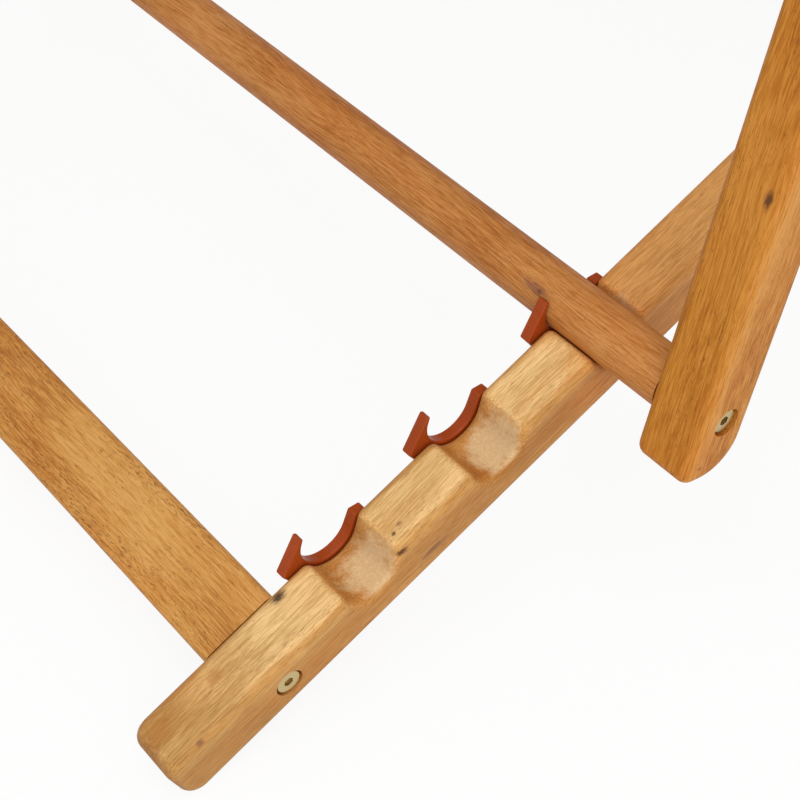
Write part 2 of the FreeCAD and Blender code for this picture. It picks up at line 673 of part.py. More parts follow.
def countersunk_screw(chair, label):
    """A small countersunk screw along z, with the face of its head at z = 0."""
    body = chair.body(label)
    cone = body.newObject("PartDesign::AdditiveCone", f"{label}_head")
    cone.setExpression("Radius1", "Sizes.clip_screw_diameter / 2")
    cone.setExpression("Radius2", "Sizes.clip_screw_head / 2")
    cone.setExpression("Height", "(Sizes.clip_screw_head - Sizes.clip_screw_diameter) / 2")
    cone.setExpression("Placement.Base.z", "-(Sizes.clip_screw_head - Sizes.clip_screw_diameter) / 2")
    radius = "Sizes.clip_screw_diameter / 2"
    length = "Sizes.clip_screw_length - (Sizes.clip_screw_head - Sizes.clip_screw_diameter) / 2"
    chair.cylinder("Additive", body, "shank", ("0", "0", "-Sizes.clip_screw_length"), radius, length)
    chair.doc.recompute()
    return body


def locating_pin(chair, label):
    """A plain wooden pin along z, centred on its length."""
    body = chair.body(label)
    length = "Sizes.pin_length - Sizes.bore_end_room"
    base = ("0", "0", f"-({length}) / 2")
    chair.cylinder("Additive", body, "round", base, "Sizes.pin_diameter / 2", length)
    chair.doc.recompute()
    rims = edges_at_level(body.Shape, (body.Shape.BoundBox.ZMin, body.Shape.BoundBox.ZMax))
    chair.round_edges(body, rims, f"{HEAD_CHAMFER}", "Chamfer", "Size")
    return body


def hex_nut(chair, label):
    """A hexagon nut standing on z = 0."""
    body = chair.body(label)
    prism = body.newObject("PartDesign::AdditivePrism", f"{label}_hexagon")
    prism.Polygon = 6
    prism.setExpression("Circumradius", "Sizes.nut_key / sqrt(3)")
    prism.setExpression("Height", "Sizes.nut_height")
    base = ("0", "0", f"{-OVERCUT}")
    chair.cylinder("Subtractive", body, "thread", base, FIXED_BOLT, f"Sizes.nut_height + 2 * {OVERCUT}")
    chair.doc.recompute()
    return body


def washer(chair, label):
    """A flat washer standing on z = 0."""
    body = chair.body(label)
    thickness = "Layout.washer_thickness"
    chair.cylinder("Additive", body, "disc", ("0", "0", "0"), "Sizes.washer_diameter / 2", thickness)
    base = ("0", "0", f"{-OVERCUT}")
    chair.cylinder("Subtractive", body, "bore", base, RUNNING_BOLT, f"{thickness} + 2 * {OVERCUT}")
    chair.doc.recompute()
    return body


def fasten_frames(chair):
    """The screws and pins that hold each frame together."""
    names = ("screw_head_diameter", "screw_head_height", "screw_diameter", "screw_key", "screw_key_depth")
    screw = socket_screw(chair, "frame_screw", names, "Sizes.screw_length")
    place = chair.place
    rows = {
        "seat_frame_screws": (chair.seat, (REAR_BOARD, FRONT_BAR), "seat_outer", "rail_bore_depth"),
        "back_frame_screws": (chair.back, (FOOT_BOARD, TOP_BAR), "back_outer", "rail_bore_depth"),
        "prop_frame_screws": (chair.prop, (DOWEL,), "leg_outer", "leg_bore_depth"),
    }
    for label, (frame, points, face, depth) in rows.items():
        lateral = place[face] - place[depth]
        spots = [chair.spot(frame, point, lateral, side) for point in points for side in SIDES.values()]
        chair.group(label, screw, spots)
    pin = locating_pin(chair, "board_pin")
    pins = {
        "rear_board_pins": (chair.seat, REAR_BOARD, place["seat_inner"]),
        "foot_board_pins": (chair.back, FOOT_BOARD, place["back_inner"]),
    }
    for label, (frame, board, lateral) in pins.items():
        points = pin_points(board)
        chair.group(label, pin, [chair.spot(frame, p, lateral, s) for p in points for s in SIDES.values()])
    clip_face = place["seat_inner"] - chair.size["clip_thickness"]
    spots = []
    for notch in NOTCHES.values():
        for point in clip_screw_points(notch):
            spots += [chair.spot(chair.seat, point, clip_face, side, -1) for side in SIDES.values()]
    chair.group("clip_screws", countersunk_screw(chair, "clip_screw"), spots)


def hang_pivots(chair):
    """Bolts, nuts and washers of the main pivots and of the prop pivots."""
    names = ("bolt_head_diameter", "bolt_head_height", "bolt_diameter", "bolt_key", "bolt_key_depth")
    nut = hex_nut(chair, "pivot_nut")
    ring = washer(chair, "pivot_washer")
    place = chair.place
    rows = {
        "main_pivot": (chair.seat, SEAT_PIVOT, -1, place["seat_outer"]),
        "prop_pivot": (chair.back, BACK_PROP, 1, place["back_outer"]),
    }
    for label, (frame, point, facing, ring_face) in rows.items():
        short = label.split("_")[0]
        bolt = socket_screw(chair, f"{label}_bolt", names, f"Layout.{short}_bolt_length")
        sides = SIDES.values()
        head, seat = place[f"{short}_head"], place[f"{short}_nut"]
        chair.group(f"{label}_bolts", bolt, [chair.spot(frame, point, head, s, facing) for s in sides])
        chair.group(f"{label}_nuts", nut, [chair.spot(frame, point, seat, s) for s in sides])
        chair.group(f"{label}_washers", ring, [chair.spot(frame, point, ring_face, s) for s in sides])


def solve_catenary(start, end, length):
    """Parameter, lowest place and lowest height of a cloth of given length hung between two points."""
    span = end[0] - start[0]
    rise = end[1] - start[1]
    ratio = math.sqrt(length ** 2 - rise ** 2) / span
    low, high = CATENARY_RANGE
    for _ in range(CATENARY_STEPS):
        middle = (low + high) / 2
        if math.sinh(middle) / middle < ratio:
            low = middle
        else:
            high = middle
    scale = span / (low + high)
    lowest = start[0] + span / 2 - scale * math.atanh(rise / length)
    return scale, lowest, start[1] - scale * math.cosh((start[0] - lowest) / scale)


def hang_sling(chair):
    """The canvas: a hanging sheet that leaves a sewn sleeve round each bar, on the sitter's side."""
    size = chair.size
    inside = size["bar_diameter"] / 2 + size["sleeve_clearance"]
    middle = inside + size["sleeve_thickness"] / 2
    front = chair.seat.multVec(chair.vector(FRONT_BAR))
    top = chair.back.multVec(chair.vector(TOP_BAR))
    length = size["sling_slack"] + front.distanceToPoint(top)
    slopes = [0.0, 0.0]
    for _ in range(TANGENT_STEPS):
        ends = []
        for bar, slope in zip((front, top), slopes):
            angle = math.atan(slope)
            ends.append((bar.y - middle * math.sin(angle), bar.z + middle * math.cos(angle)))
        scale, lowest, base = solve_catenary(ends[0], ends[1], length)
        slopes = [math.sinh((end[0] - lowest) / scale) for end in ends]

    def point(step, offset):
        y = ends[0][0] + (ends[1][0] - ends[0][0]) * step / (2 * SLING_SPANS)
        angle = math.atan(math.sinh((y - lowest) / scale))
        z = base + scale * math.cosh((y - lowest) / scale)
        return FreeCAD.Vector(
            -size["sling_width"] / 2, y - offset * math.sin(angle), z + offset * math.cos(angle)
        )

    half = size["sling_thickness"] / 2
    faces = {}
    for offset in (half, -half):
        marks = [point(step, offset) for step in range(2 * SLING_SPANS + 1)]
        faces[offset] = [Part.Arc(*marks[i:i + 3]).toShape() for i in range(0, 2 * SLING_SPANS, 2)]
    closing = [Part.makeLine(point(step, half), point(step, -half)) for step in (0, 2 * SLING_SPANS)]
    edges = Part.sortEdges(faces[half] + faces[-half] + closing)[0]
    across = FreeCAD.Vector(1, 0, 0)
    sheet = Part.Face(Part.Wire(edges)).extrude(across * size["sling_width"])
    outside = inside + size["sleeve_thickness"]
    for bar in (front, top):
        start = bar - across * (size["sling_width"] / 2)
        sleeve = Part.makeCylinder(outside, size["sling_width"], start, across)
        room = Part.makeCylinder(inside, size["sling_width"], start, across)
        sheet = sheet.fuse(sleeve).cut(room)
    node = chair.doc.addObject("Part::Feature", "sling")
    node.Label = "sling"
    node.Shape = sheet.removeSplitter().Solids[0]
    chair.keep(node, FreeCAD.Placement())
    flat = length + 2 * 2 * math.pi * middle
    print(f"sling hangs {length:.1f}, and is cut {flat:.1f} long and {size['sling_width']:.1f} wide")


def build():
    """Makes every piece of the chair."""
    chair = Chair()
    for name, side in SIDES.items():
        seat_rail(chair, name, side)
        back_rail(chair, name, side)
        prop_leg(chair, name, side)
        for notch in NOTCHES:
            notch_clip(chair, name, side, notch)
    cross_board(chair, "rear_cross_board", REAR_BOARD, chair.seat, "seat_inner")
    cross_board(chair, "foot_cross_board", FOOT_BOARD, chair.back, "back_inner")
    cross_bar(chair, "front_sling_bar", FRONT_BAR, chair.seat, "seat_inner", "Layout.rail_screw_bite")
    cross_bar(chair, "top_sling_bar", TOP_BAR, chair.back, "back_inner", "Layout.rail_screw_bite")
    cross_bar(chair, "prop_cross_dowel", DOWEL, chair.prop, "leg_inner", "Layout.leg_screw_bite")
    fasten_frames(chair)
    hang_pivots(chair)
    hang_sling(chair)
    chair.doc.recompute()
    return chair


def check(chair):
    """Stops if anything failed, or if a piece isn't sound."""
    for item in chair.doc.Objects:
        if "Invalid" in item.State or "Error" in item.State:
            raise RuntimeError(f"{item.Label} failed: {item.State}")
    for node in chair.nodes:
        if node.Shape.isNull() or not node.Shape.isValid() or not node.Shape.Solids:
            raise RuntimeError(f"{node.Label} is not a sound solid")


def write(chair):
    """Writes each piece to its own file."""
    os.makedirs("parts", exist_ok=True)
    for node in chair.nodes:
        node.Shape.exportStep(f"parts/{node.Label}.step")
    axes = {
        "notch": chair.seat.multVec(chair.vector(DOWEL)),
        "main pivot": chair.seat.multVec(chair.vector(SEAT_PIVOT)),
        "prop pivot": chair.prop.multVec(chair.vector(PROP_PIVOT)),
    }
    for title, spot in axes.items():
        print(f"{title} axis at Y {spot.y:.4f}, Z {spot.z:.4f}")
    box = FreeCAD.BoundBox()
    for node in chair.nodes:
        box.add(node.Shape.BoundBox)
    print(f"{len(chair.nodes)} pieces, {box.XLength:.2f} x {box.YLength:.2f} x {box.ZLength:.2f}")


chair = build()
check(chair)
write(chair)
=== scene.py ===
import json
import logging
import math
from dataclasses import dataclass, field
from enum import Enum

import bpy
import numpy as np
from mathutils import Euler, Matrix, Vector


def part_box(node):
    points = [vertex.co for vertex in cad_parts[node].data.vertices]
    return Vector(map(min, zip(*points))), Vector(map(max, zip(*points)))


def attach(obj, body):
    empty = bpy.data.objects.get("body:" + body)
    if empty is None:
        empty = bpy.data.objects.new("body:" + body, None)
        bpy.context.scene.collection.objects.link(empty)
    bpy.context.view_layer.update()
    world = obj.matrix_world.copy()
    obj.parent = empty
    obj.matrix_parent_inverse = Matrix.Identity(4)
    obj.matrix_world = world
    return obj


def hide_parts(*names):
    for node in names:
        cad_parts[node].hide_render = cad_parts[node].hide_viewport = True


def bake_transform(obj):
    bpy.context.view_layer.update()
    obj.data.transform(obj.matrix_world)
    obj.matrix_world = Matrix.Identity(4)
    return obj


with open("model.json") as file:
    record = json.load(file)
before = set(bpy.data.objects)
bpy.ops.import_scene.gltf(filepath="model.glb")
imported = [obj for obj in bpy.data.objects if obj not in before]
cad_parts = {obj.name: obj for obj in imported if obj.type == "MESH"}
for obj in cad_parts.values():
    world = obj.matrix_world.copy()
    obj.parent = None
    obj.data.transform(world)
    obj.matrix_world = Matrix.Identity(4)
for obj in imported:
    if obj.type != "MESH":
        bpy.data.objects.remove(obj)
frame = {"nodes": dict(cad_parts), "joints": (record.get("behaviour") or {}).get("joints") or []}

# A wooden folding beach chair: three hinged frames of oiled hardwood, moulded clips in the seat rails'
# notches for the prop frame's dowel, and a canvas sling hung between two round bars.

log = logging.getLogger("beach_chair")

MM = 0.001
UP = Vector((0, 0, 1))
ACROSS = Vector((1, 0, 0))
SIDES = ("right", "left")
SEED_STEP = 13.7

Pair = tuple[float, float]
Triple = tuple[float, float, float]
Colour = tuple[float, float, float]
Socket = bpy.types.NodeSocket
Value = float | Triple | Socket


class Part(Enum):
    """The chair's three moving frames, by the names of their bodies."""

    SEAT = "seat_frame"
    BACK = "back_frame"
    PROP = "prop_frame"


class Laying(Enum):
    """Ways of laying one colour over another."""

    COVER = "MIX"
    TINT = "MULTIPLY"


class Face(Enum):
    """The two faces of the cloth, by the side of its normal."""

    UPPER = 1.0
    LOWER = -1.0


def centre_of(node: str) -> Vector:
    """The middle of a solid's box at rest."""
    low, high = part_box(node)
    return (low + high) / 2


def joint_place(name: str) -> Vector:
    """The place of a joint's axis at rest."""
    return Vector(next(joint["pos_m"] for joint in frame["joints"] if joint["name"] == name))


def dress_node(node: str, material: bpy.types.Material) -> None:
    """Gives a solid its finish in place of the plain one."""
    mesh = frame["nodes"][node].data
    mesh.materials.clear()
    mesh.materials.append(material)
    log.info("%s: %s", node, material.name)


def add_object(name: str, data: bpy.types.ID) -> bpy.types.Object:
    """A new object in the scene, at the origin."""
    thing = bpy.data.objects.new(name, data)
    bpy.context.scene.collection.objects.link(thing)
    return thing


def add_node(tree: bpy.types.NodeTree, kind: str, **settings: object) -> bpy.types.Node:
    """A new node in a tree, with its properties set."""
    node = tree.nodes.new(kind)
    for name, value in settings.items():
        setattr(node, name, value)
    return node


def around(middle: float, more: Pair) -> Pair:
    """A middle number with each of two others added."""
    return middle + more[0], middle + more[1]


@dataclass(frozen=True)
class Grain:
    """A timber's own axes: x along its fibres, y square to them, z the rest.

    Args:
        origin: Where the axes start, in metres.
        along: The run of the fibres.
        square: The second axis.
        section: For a rail with edges, the middle of its section in y and its half sizes in y and z, in
            millimetres.
    """

    origin: Vector
    along: Vector
    square: Vector
    section: Triple | None = None

    def turn(self) -> Euler:
        """The turn from the chair's axes to the timber's."""
        along = self.along.normalized()
        square = (self.square - along * self.square.dot(along)).normalized()
        return Matrix((along, square, along.cross(square))).transposed().to_euler()


class Layout:
    """Directions and places of the three frames, read from the solids and joints."""

    RAIL_HALF_DEPTH = 14.75
    RAIL_HALF_WIDTH = 14.25

    def __init__(self) -> None:
        self.dowel = centre_of("prop_cross_dowel")
        self.main_pivot = joint_place("back_fold")
        self.prop_pivot = joint_place("prop_swing")
        self.front_bar = centre_of("front_sling_bar")
        self.top_bar = centre_of("top_sling_bar")
        clips = [centre_of(f"notch_clip_right_{name}") for name in ("front", "middle", "rear")]
        self.seat_along = (clips[0] - clips[2]).normalized()
        self.seat_up = self.seat_along.cross(ACROSS)
        self.back_along = (self.top_bar - self.main_pivot).normalized()
        self.prop_along = (self.prop_pivot - self.dowel).normalized()
        self.notch_steps = [(clip - clips[0]).dot(self.seat_along) / MM for clip in clips]

    def rail_grain(self, node: str, part: Part) -> Grain:
        """The grain of a rail or leg of a frame.

        Args:
            node: The timber's name.
            part: The frame that it belongs to.

        Returns:
            The timber's own axes, from the notch axis or a pivot.
        """
        starts = {
            Part.SEAT: (self.dowel, self.seat_along, -self.RAIL_HALF_DEPTH),
            Part.BACK: (self.main_pivot, self.back_along, 0.0),
            Part.PROP: (self.dowel, self.prop_along, 0.0),
        }
        start, along, middle = starts[part]
        origin = Vector((centre_of(node).x, start.y, start.z))
        section = (middle, self.RAIL_HALF_DEPTH, self.RAIL_HALF_WIDTH)
        return Grain(origin, along, along.cross(ACROSS), section)

    def cross_grain(self, node: str) -> Grain:
        """The grain of a bar, board or pin that lies across the chair."""
        return Grain(centre_of(node), ACROSS, UP)


@dataclass(frozen=True)
class Cloud:
    """A cloud of noise.

    Args:
        stretch: Features in each unit of x, y and z.
        detail: Octaves of finer noise.
        rough: Strength of the finer octaves.
        shift: Moves the cloud, so that two clouds differ.
    """

    stretch: Triple
    detail: float = 2.0
    rough: float = 0.5
    shift: float = 0.0


class Figure(Enum):
    """The clouds of every finish, in features per millimetre, or per metre of flat cloth for the canvas."""

    SWAY = Cloud((0.007, 0.015, 0.015), 1.0)
    FIBRE = Cloud((0.085, 1.45, 1.45), 4.0, 0.68, 11)
    STRAND = Cloud((0.020, 0.42, 0.42), 3.0, 0.6, 23)
    BAND = Cloud((0.004, 0.085, 0.085), 2.0, 0.5, 31)
    DRIFT = Cloud((0.011, 0.025, 0.025), 2.0, 0.5, 37)
    PORE = Cloud((0.34, 2.6, 2.6), 1.0, 0.4, 53)
    PORE_CROWD = Cloud((0.012, 0.07, 0.07), 2.0, 0.5, 61)
    BLUSH = Cloud((0.013, 0.05, 0.05), 3.0, 0.6, 71)
    MARK_RIM = Cloud((0.3, 0.8, 0.8), 3.0, 0.65)
    RUBBED_RIM = Cloud((0.02, 0.08, 0.08), 3.0, 0.6, 3)
    END_FUZZ = Cloud((0.9, 0.9, 0.9), 5.0, 0.75)
    OVAL_RIM = Cloud((0.16, 0.16, 0.16), 4.0, 0.65, 5)
    PLASTIC_FLOW = Cloud((0.08, 0.08, 0.08), 3.0)
    PLASTIC_PITS = Cloud((2.4, 2.4, 2.4), 2.0, 0.5, 9)
    PLASTIC_SCUFF = Cloud((0.5, 1.6, 0.5), 4.0, 0.7, 17)
    PLATING = Cloud((0.22, 0.22, 0.22))
    STEEL_GRIT = Cloud((1.6, 1.6, 1.6), 4.0, 0.7, 7)
    WARP_SLUBS = Cloud((700.0, 9.0, 1.0), 3.0, 0.6)
    WEFT_SLUBS = Cloud((9.0, 700.0, 1.0), 3.0, 0.6, 19)
    CLOTH_WEAR = Cloud((7.0, 5.0, 1.0), 3.0, 0.5, 29)
    THREAD_TWIST = Cloud((3.5, 3.5, 3.5))


class Shader:
    """A material's node tree, built socket by socket.

    Args:
        name: The material's name.
    """

    SHIFT_RATES = (1.0, 1.7, 2.3)
    SHIFT_STARTS = (0.0, 3.1, -5.3)
    NOISE_MIDDLE = 0.5
    MIX_SHARE, MIX_UNDER, MIX_OVER = 0, 6, 7
    MIX_RESULT = 2

    def __init__(self, name: str) -> None:
        self.material = bpy.data.materials.new(name)
        self.material.use_nodes = True
        self.tree = self.material.node_tree
        self.tree.nodes.clear()
        self.bsdf = self.node("ShaderNodeBsdfPrincipled")
        output = self.node("ShaderNodeOutputMaterial")
        self.tree.links.new(self.bsdf.outputs["BSDF"], output.inputs["Surface"])
        self.coordinates = self.node("ShaderNodeTexCoord")

    def node(self, kind: str, **settings: object) -> bpy.types.Node:
        """A new node with its properties set."""
        return add_node(self.tree, kind, **settings)

    def plug(self, target: Socket, value: Value) -> None:
        """Links a socket to another one, or sets its number, vector or colour."""
        if isinstance(value, Socket):
            self.tree.links.new(value, target)
        elif target.type == "RGBA":
            target.default_value = (*value, 1.0)
        else:
            target.default_value = value

    def math(self, operation: str, *values: Value, clamp: bool = False) -> Socket:
        """The result of a sum on numbers."""
        node = self.node("ShaderNodeMath", operation=operation, use_clamp=clamp)
        for socket, value in zip(node.inputs, values):
            self.plug(socket, value)
        return node.outputs[0]

    def length(self, first: Value, second: Value) -> Socket:
        """The length of two parts that are square to each other."""
        square = self.math("MULTIPLY_ADD", first, first, self.math("MULTIPLY", second, second))
        return self.math("SQRT", square)

    def rest(self, share: Value) -> Socket:
        """What is left of one after a share."""
        return self.math("SUBTRACT", 1.0, share)

    def vector(self, operation: str, *values: Value) -> Socket:
        """The result of a sum on vectors: a number for lengths and products, else a vector."""
        node = self.node("ShaderNodeVectorMath", operation=operation)
        for socket, value in zip(node.inputs, values):
            self.plug(socket, value)
        return node.outputs["Value" if operation in ("LENGTH", "DOT_PRODUCT") else "Vector"]

    def scaled(self, vector: Value, amount: Value) -> Socket:
        """A vector times a number."""
        node = self.node("ShaderNodeVectorMath", operation="SCALE")
        self.plug(node.inputs[0], vector)
        self.plug(node.inputs["Scale"], amount)
        return node.outputs["Vector"]

    def parts(self, vector: Value) -> list[Socket]:
        """The x, y and z of a vector."""
        node = self.node("ShaderNodeSeparateXYZ")
        self.plug(node.inputs[0], vector)
        return list(node.outputs)

    def noise(self, place: Value, figure: Figure, seed: float = 0.0, output: str = "Fac") -> Socket:
        """A cloud of noise.

        Args:
            place: Where to read it.
            figure: The cloud.
            seed: Moves the cloud, so that two pieces differ.
            output: Fac for a number, or Color for three.

        Returns:
            The noise, from nought to one.
        """
        cloud = figure.value
        shift = seed + cloud.shift
        start = tuple(shift * rate + first for rate, first in zip(self.SHIFT_RATES, self.SHIFT_STARTS))
        node = self.node("ShaderNodeTexNoise", noise_dimensions="3D")
        self.plug(node.inputs["Vector"], self.vector("MULTIPLY_ADD", place, cloud.stretch, start))
        self.plug(node.inputs["Scale"], 1.0)
        self.plug(node.inputs["Detail"], cloud.detail)
        self.plug(node.inputs["Roughness"], cloud.rough)
        return node.outputs[output]

    def centred(self, signal: Value) -> Socket:
        """A noise moved to lie about nought."""
        return self.math("SUBTRACT", signal, self.NOISE_MIDDLE)

    def ease(self, value: Value, fade: Pair, levels: Pair = (0.0, 1.0)) -> Socket:
        """A smooth step from one level to the other, while a value goes from end to end of a fade."""
        node = self.node("ShaderNodeMapRange", interpolation_type="SMOOTHSTEP")
        for name, number in zip(("From Min", "From Max", "To Min", "To Max"), (*fade, *levels)):
            self.plug(node.inputs[name], number)
        self.plug(node.inputs["Value"], value)
        return node.outputs["Result"]

    def ramp(self, value: Value, places: tuple[float, ...], colours: tuple[Colour, ...]) -> Socket:
        """A colour read along a ramp of colours at their places."""
        node = self.node("ShaderNodeValToRGB")
        marks = node.color_ramp.elements
        for place in places[1:-1]:
            marks.new(place)
        for mark, place, colour in zip(marks, places, colours):
            mark.position = place
            mark.color = (*colour, 1.0)
        self.plug(node.inputs["Fac"], value)
        return node.outputs["Color"]

    def shades(self, value: Value, colour: Colour, places: Pair, levels: Pair) -> Socket:
        """Darker and lighter shades of a colour."""
        return self.ramp(value, places, tuple(tuple(level * part for part in colour) for level in levels))

    def mix(self, share: Value, under: Value, over: Value, laying: Laying = Laying.COVER) -> Socket:
        """One colour laid over another."""
        node = self.node("ShaderNodeMix", data_type="RGBA", blend_type=laying.value)
        self.plug(node.inputs[self.MIX_SHARE], share)
        self.plug(node.inputs[self.MIX_UNDER], under)
        self.plug(node.inputs[self.MIX_OVER], over)
        return node.outputs[self.MIX_RESULT]

    def tint(self, share: Value, colour: Value, tint: Value) -> Socket:
        """A colour with a share of a tint."""
        return self.mix(share, colour, tint, Laying.TINT)

    def bump(self, height: Value, strength: float, depth: float) -> Socket:
        """A normal from a height, whose full step is depth metres."""
        node = self.node("ShaderNodeBump")
        self.plug(node.inputs["Strength"], strength)
        self.plug(node.inputs["Distance"], depth)
        self.plug(node.inputs["Height"], height)
        return node.outputs["Normal"]

    def local(self, grain: Grain) -> Socket:
        """Places in a timber's own axes, in millimetres."""
        node = self.node("ShaderNodeMapping", vector_type="TEXTURE")
        node.inputs["Location"].default_value = grain.origin
        node.inputs["Rotation"].default_value = grain.turn()
        node.inputs["Scale"].default_value = (MM, MM, MM)
        self.tree.links.new(self.coordinates.outputs["Object"], node.inputs["Vector"])
        return node.outputs["Vector"]

    def millimetres(self) -> Socket:
        """Places in the chair's own axes, in millimetres."""
        return self.scaled(self.coordinates.outputs["Object"], 1 / MM)

    def close(self, **sockets: Value) -> bpy.types.Material:
        """Sets the shader's sockets, by name with underscores for spaces, and gives the material."""
        for name, value in sockets.items():
            self.plug(self.bsdf.inputs[name.replace("_", " ")], value)
        return self.material


@dataclass(frozen=True)
class Mark:
    """A knot, bark pocket or dark streak, in millimetres of its timber's own axes.

    Args:
        place: Its middle.
        reach: How far it goes each way.
        colour: Its colour.
        depth: How strongly it covers the wood.
        swirl: How far the fibres bend round it.
    """

    place: Triple
    reach: Triple
    colour: Colour
    depth: float = 0.9
    swirl: float = 0.0


@dataclass(frozen=True)
class Saddles:
    """The round notches of a seat rail, with an oval of bare pale wood in each and rubbed wood between them.

    Places, reaches and fades are in millimetres of the rail's own axes.

    Args:
        steps: Places of the notches along the rail.
        outward: Sign of the rail's outer face on its own z.
        radius: Radius of a notch.
        flare: How much further the front lip lies than the rear one, as a share.
        rim: Where the notch's wood starts and is full, from its radius.
        oval: Middle of the bare oval from the notch's axis, along the rail and towards its outer face.
        oval_reach: How far the oval goes each way.
        oval_fade: Where the oval starts and is full, as shares of its reach.
        oval_ragged: How ragged the oval's rim is.
        oval_cover: How strongly the bare wood covers the rest.
        oval_rough: How much rougher the bare wood is.
        rubbed_reach: How far the rubbed wood goes past the rear notch.
        rear_fade: Half the length in which it fades there.
        front_fade: Where the rubbed wood starts and is full, from the front notch.
        top_fade: The same on the height.
        middle_fade: The same from the rail's middle to its sides.
        painted_side_shading_fade: Where the painted shade on the rail's sides starts and is full, on the
            height.
        ragged: How far the rubbed wood's rim wanders, along the rail and across it.
        pale: Colour of the bare wood.
        pale_fade: Where it is darkest and lightest in its noise.
        pale_levels: How light it is there.
        deep: Tint of the wood round the oval.
        deep_fade: Where that is darkest and lightest in its noise.
        deep_levels: How light it is there.
        rubbed: Tint of the rubbed wood.
        plain: Tint of the rail's wood that isn't rubbed.
        ahead: Further tint ahead of the notches: a more orange wood tone, and painted light that makes it
            lighter.
        behind: Painted shade, a further darker tint behind them.
        side: Painted shade, a darker tint of the rail's sides below its top edges.
    """

    steps: tuple[float, ...]
    outward: float = 1.0
    radius: float = 12.9
    flare: float = 1.28
    rim: Pair = (1.6, 0.2)
    oval: Pair = (4.0, 3.0)
    oval_reach: Pair = (12.5, 12.0)
    oval_fade: Pair = (1.3, 0.6)
    oval_ragged: float = 1.6
    oval_cover: float = 0.75
    oval_rough: float = 0.25
    rubbed_reach: float = 78.0
    rear_fade: float = 25.0
    front_fade: Pair = (10.0, -50.0)
    top_fade: Pair = (-7.0, -0.4)
    middle_fade: Pair = (13.5, 8.0)
    painted_side_shading_fade: Pair = (-4.0, -10.0)
    ragged: Pair = (150.0, 14.0)
    pale: Colour = (0.74, 0.53, 0.29)
    pale_fade: Pair = (0.3, 0.7)
    pale_levels: Pair = (0.78, 1.1)
    deep: Colour = (1.08, 1.02, 0.96)
    deep_fade: Pair = (0.34, 0.66)
    deep_levels: Pair = (0.84, 1.12)
    rubbed: Colour = (1.07, 1.12, 1.18)
    plain: Colour = (0.80, 0.69, 0.53)
    ahead: Colour = (1.18, 1.08, 1.05)
    behind: Colour = (0.88, 0.93, 0.97)
    side: Colour = (0.86, 0.77, 0.66)

    def rub_and_paint_shading(self, shade: Shader, place: Value, colour: Value, seed: float) -> Socket:
        """The rail's colour, deeper where the dowel hasn't rubbed it, with painted shade on its sides and
        behind the notches and painted light ahead of them.
        """
        wander = shade.centred(shade.noise(place, Figure.RUBBED_RIM, seed))
        along, above, beside = shade.parts(place)
        along = shade.math("MULTIPLY_ADD", wander, self.ragged[0], along)
        across = shade.math("MULTIPLY_ADD", wander, self.ragged[1], shade.math("ABSOLUTE", beside))
        last = min(self.steps) - self.rubbed_reach
        rear = shade.ease(along, (last - self.rear_fade, last + self.rear_fade))
        front = shade.ease(along, around(max(self.steps), self.front_fade))
        top = shade.ease(above, self.top_fade)
        middle = shade.ease(across, self.middle_fade)
        stretch, strip = shade.math("MULTIPLY", rear, front), shade.math("MULTIPLY", top, middle)
        rubbed = shade.math("MULTIPLY", stretch, strip)
        colour = shade.tint(rubbed, colour, self.rubbed)
        # Ahead of the notches a more orange tone with painted light, behind them painted shade.
        for share, tint in ((rubbed, self.plain), (front, self.ahead), (rear, self.behind)):
            colour = shade.tint(shade.rest(share), colour, tint)
        # Painted shade: the rail's sides below its top edges are darker.
        return shade.tint(shade.ease(above, self.painted_side_shading_fade), colour, self.side)

    def lay(
        self, shade: Shader, place: Value, colour: Value, rough: Value, seed: float
    ) -> tuple[Socket, Socket]:
        """The notches' wood laid over the rail's colour.

        Args:
            shade: The material's tree.
            place: Places in the rail's millimetres.
            colour: The rail's colour.
            rough: The rail's roughness.
            seed: Varies the patches.

        Returns:
            The new colour and roughness.
        """
        fuzz = shade.noise(place, Figure.END_FUZZ, seed)
        wander = shade.centred(shade.noise(place, Figure.OVAL_RIM, seed))
        pale = shade.shades(fuzz, self.pale, self.pale_fade, self.pale_levels)
        deep = shade.shades(fuzz, self.deep, self.deep_fade, self.deep_levels)
        rim = around(self.radius, self.rim)
        for step in self.steps:
            ahead, above, beside = shade.parts(shade.vector("SUBTRACT", place, (step, 0.0, 0.0)))
            level = shade.math("DIVIDE", shade.math("MAXIMUM", ahead, 0.0), self.flare)
            level = shade.math("ADD", level, shade.math("MINIMUM", ahead, 0.0))
            inside = shade.ease(shade.length(level, above), rim)
            colour = shade.tint(inside, colour, deep)
            run = shade.math("DIVIDE", shade.math("SUBTRACT", ahead, self.oval[0]), self.oval_reach[0])
            out = shade.math("SUBTRACT", beside, self.outward * self.oval[1])
            out = shade.math("DIVIDE", out, self.oval_reach[1])
            away = shade.math("MULTIPLY_ADD", wander, self.oval_ragged, shade.length(run, out))
            bare = shade.math("MULTIPLY", inside, shade.ease(away, self.oval_fade, (0.0, self.oval_cover)))
            colour = shade.mix(bare, colour, pale)
            rough = shade.math("ADD", rough, shade.math("MULTIPLY", bare, self.oval_rough))
        return colour, rough


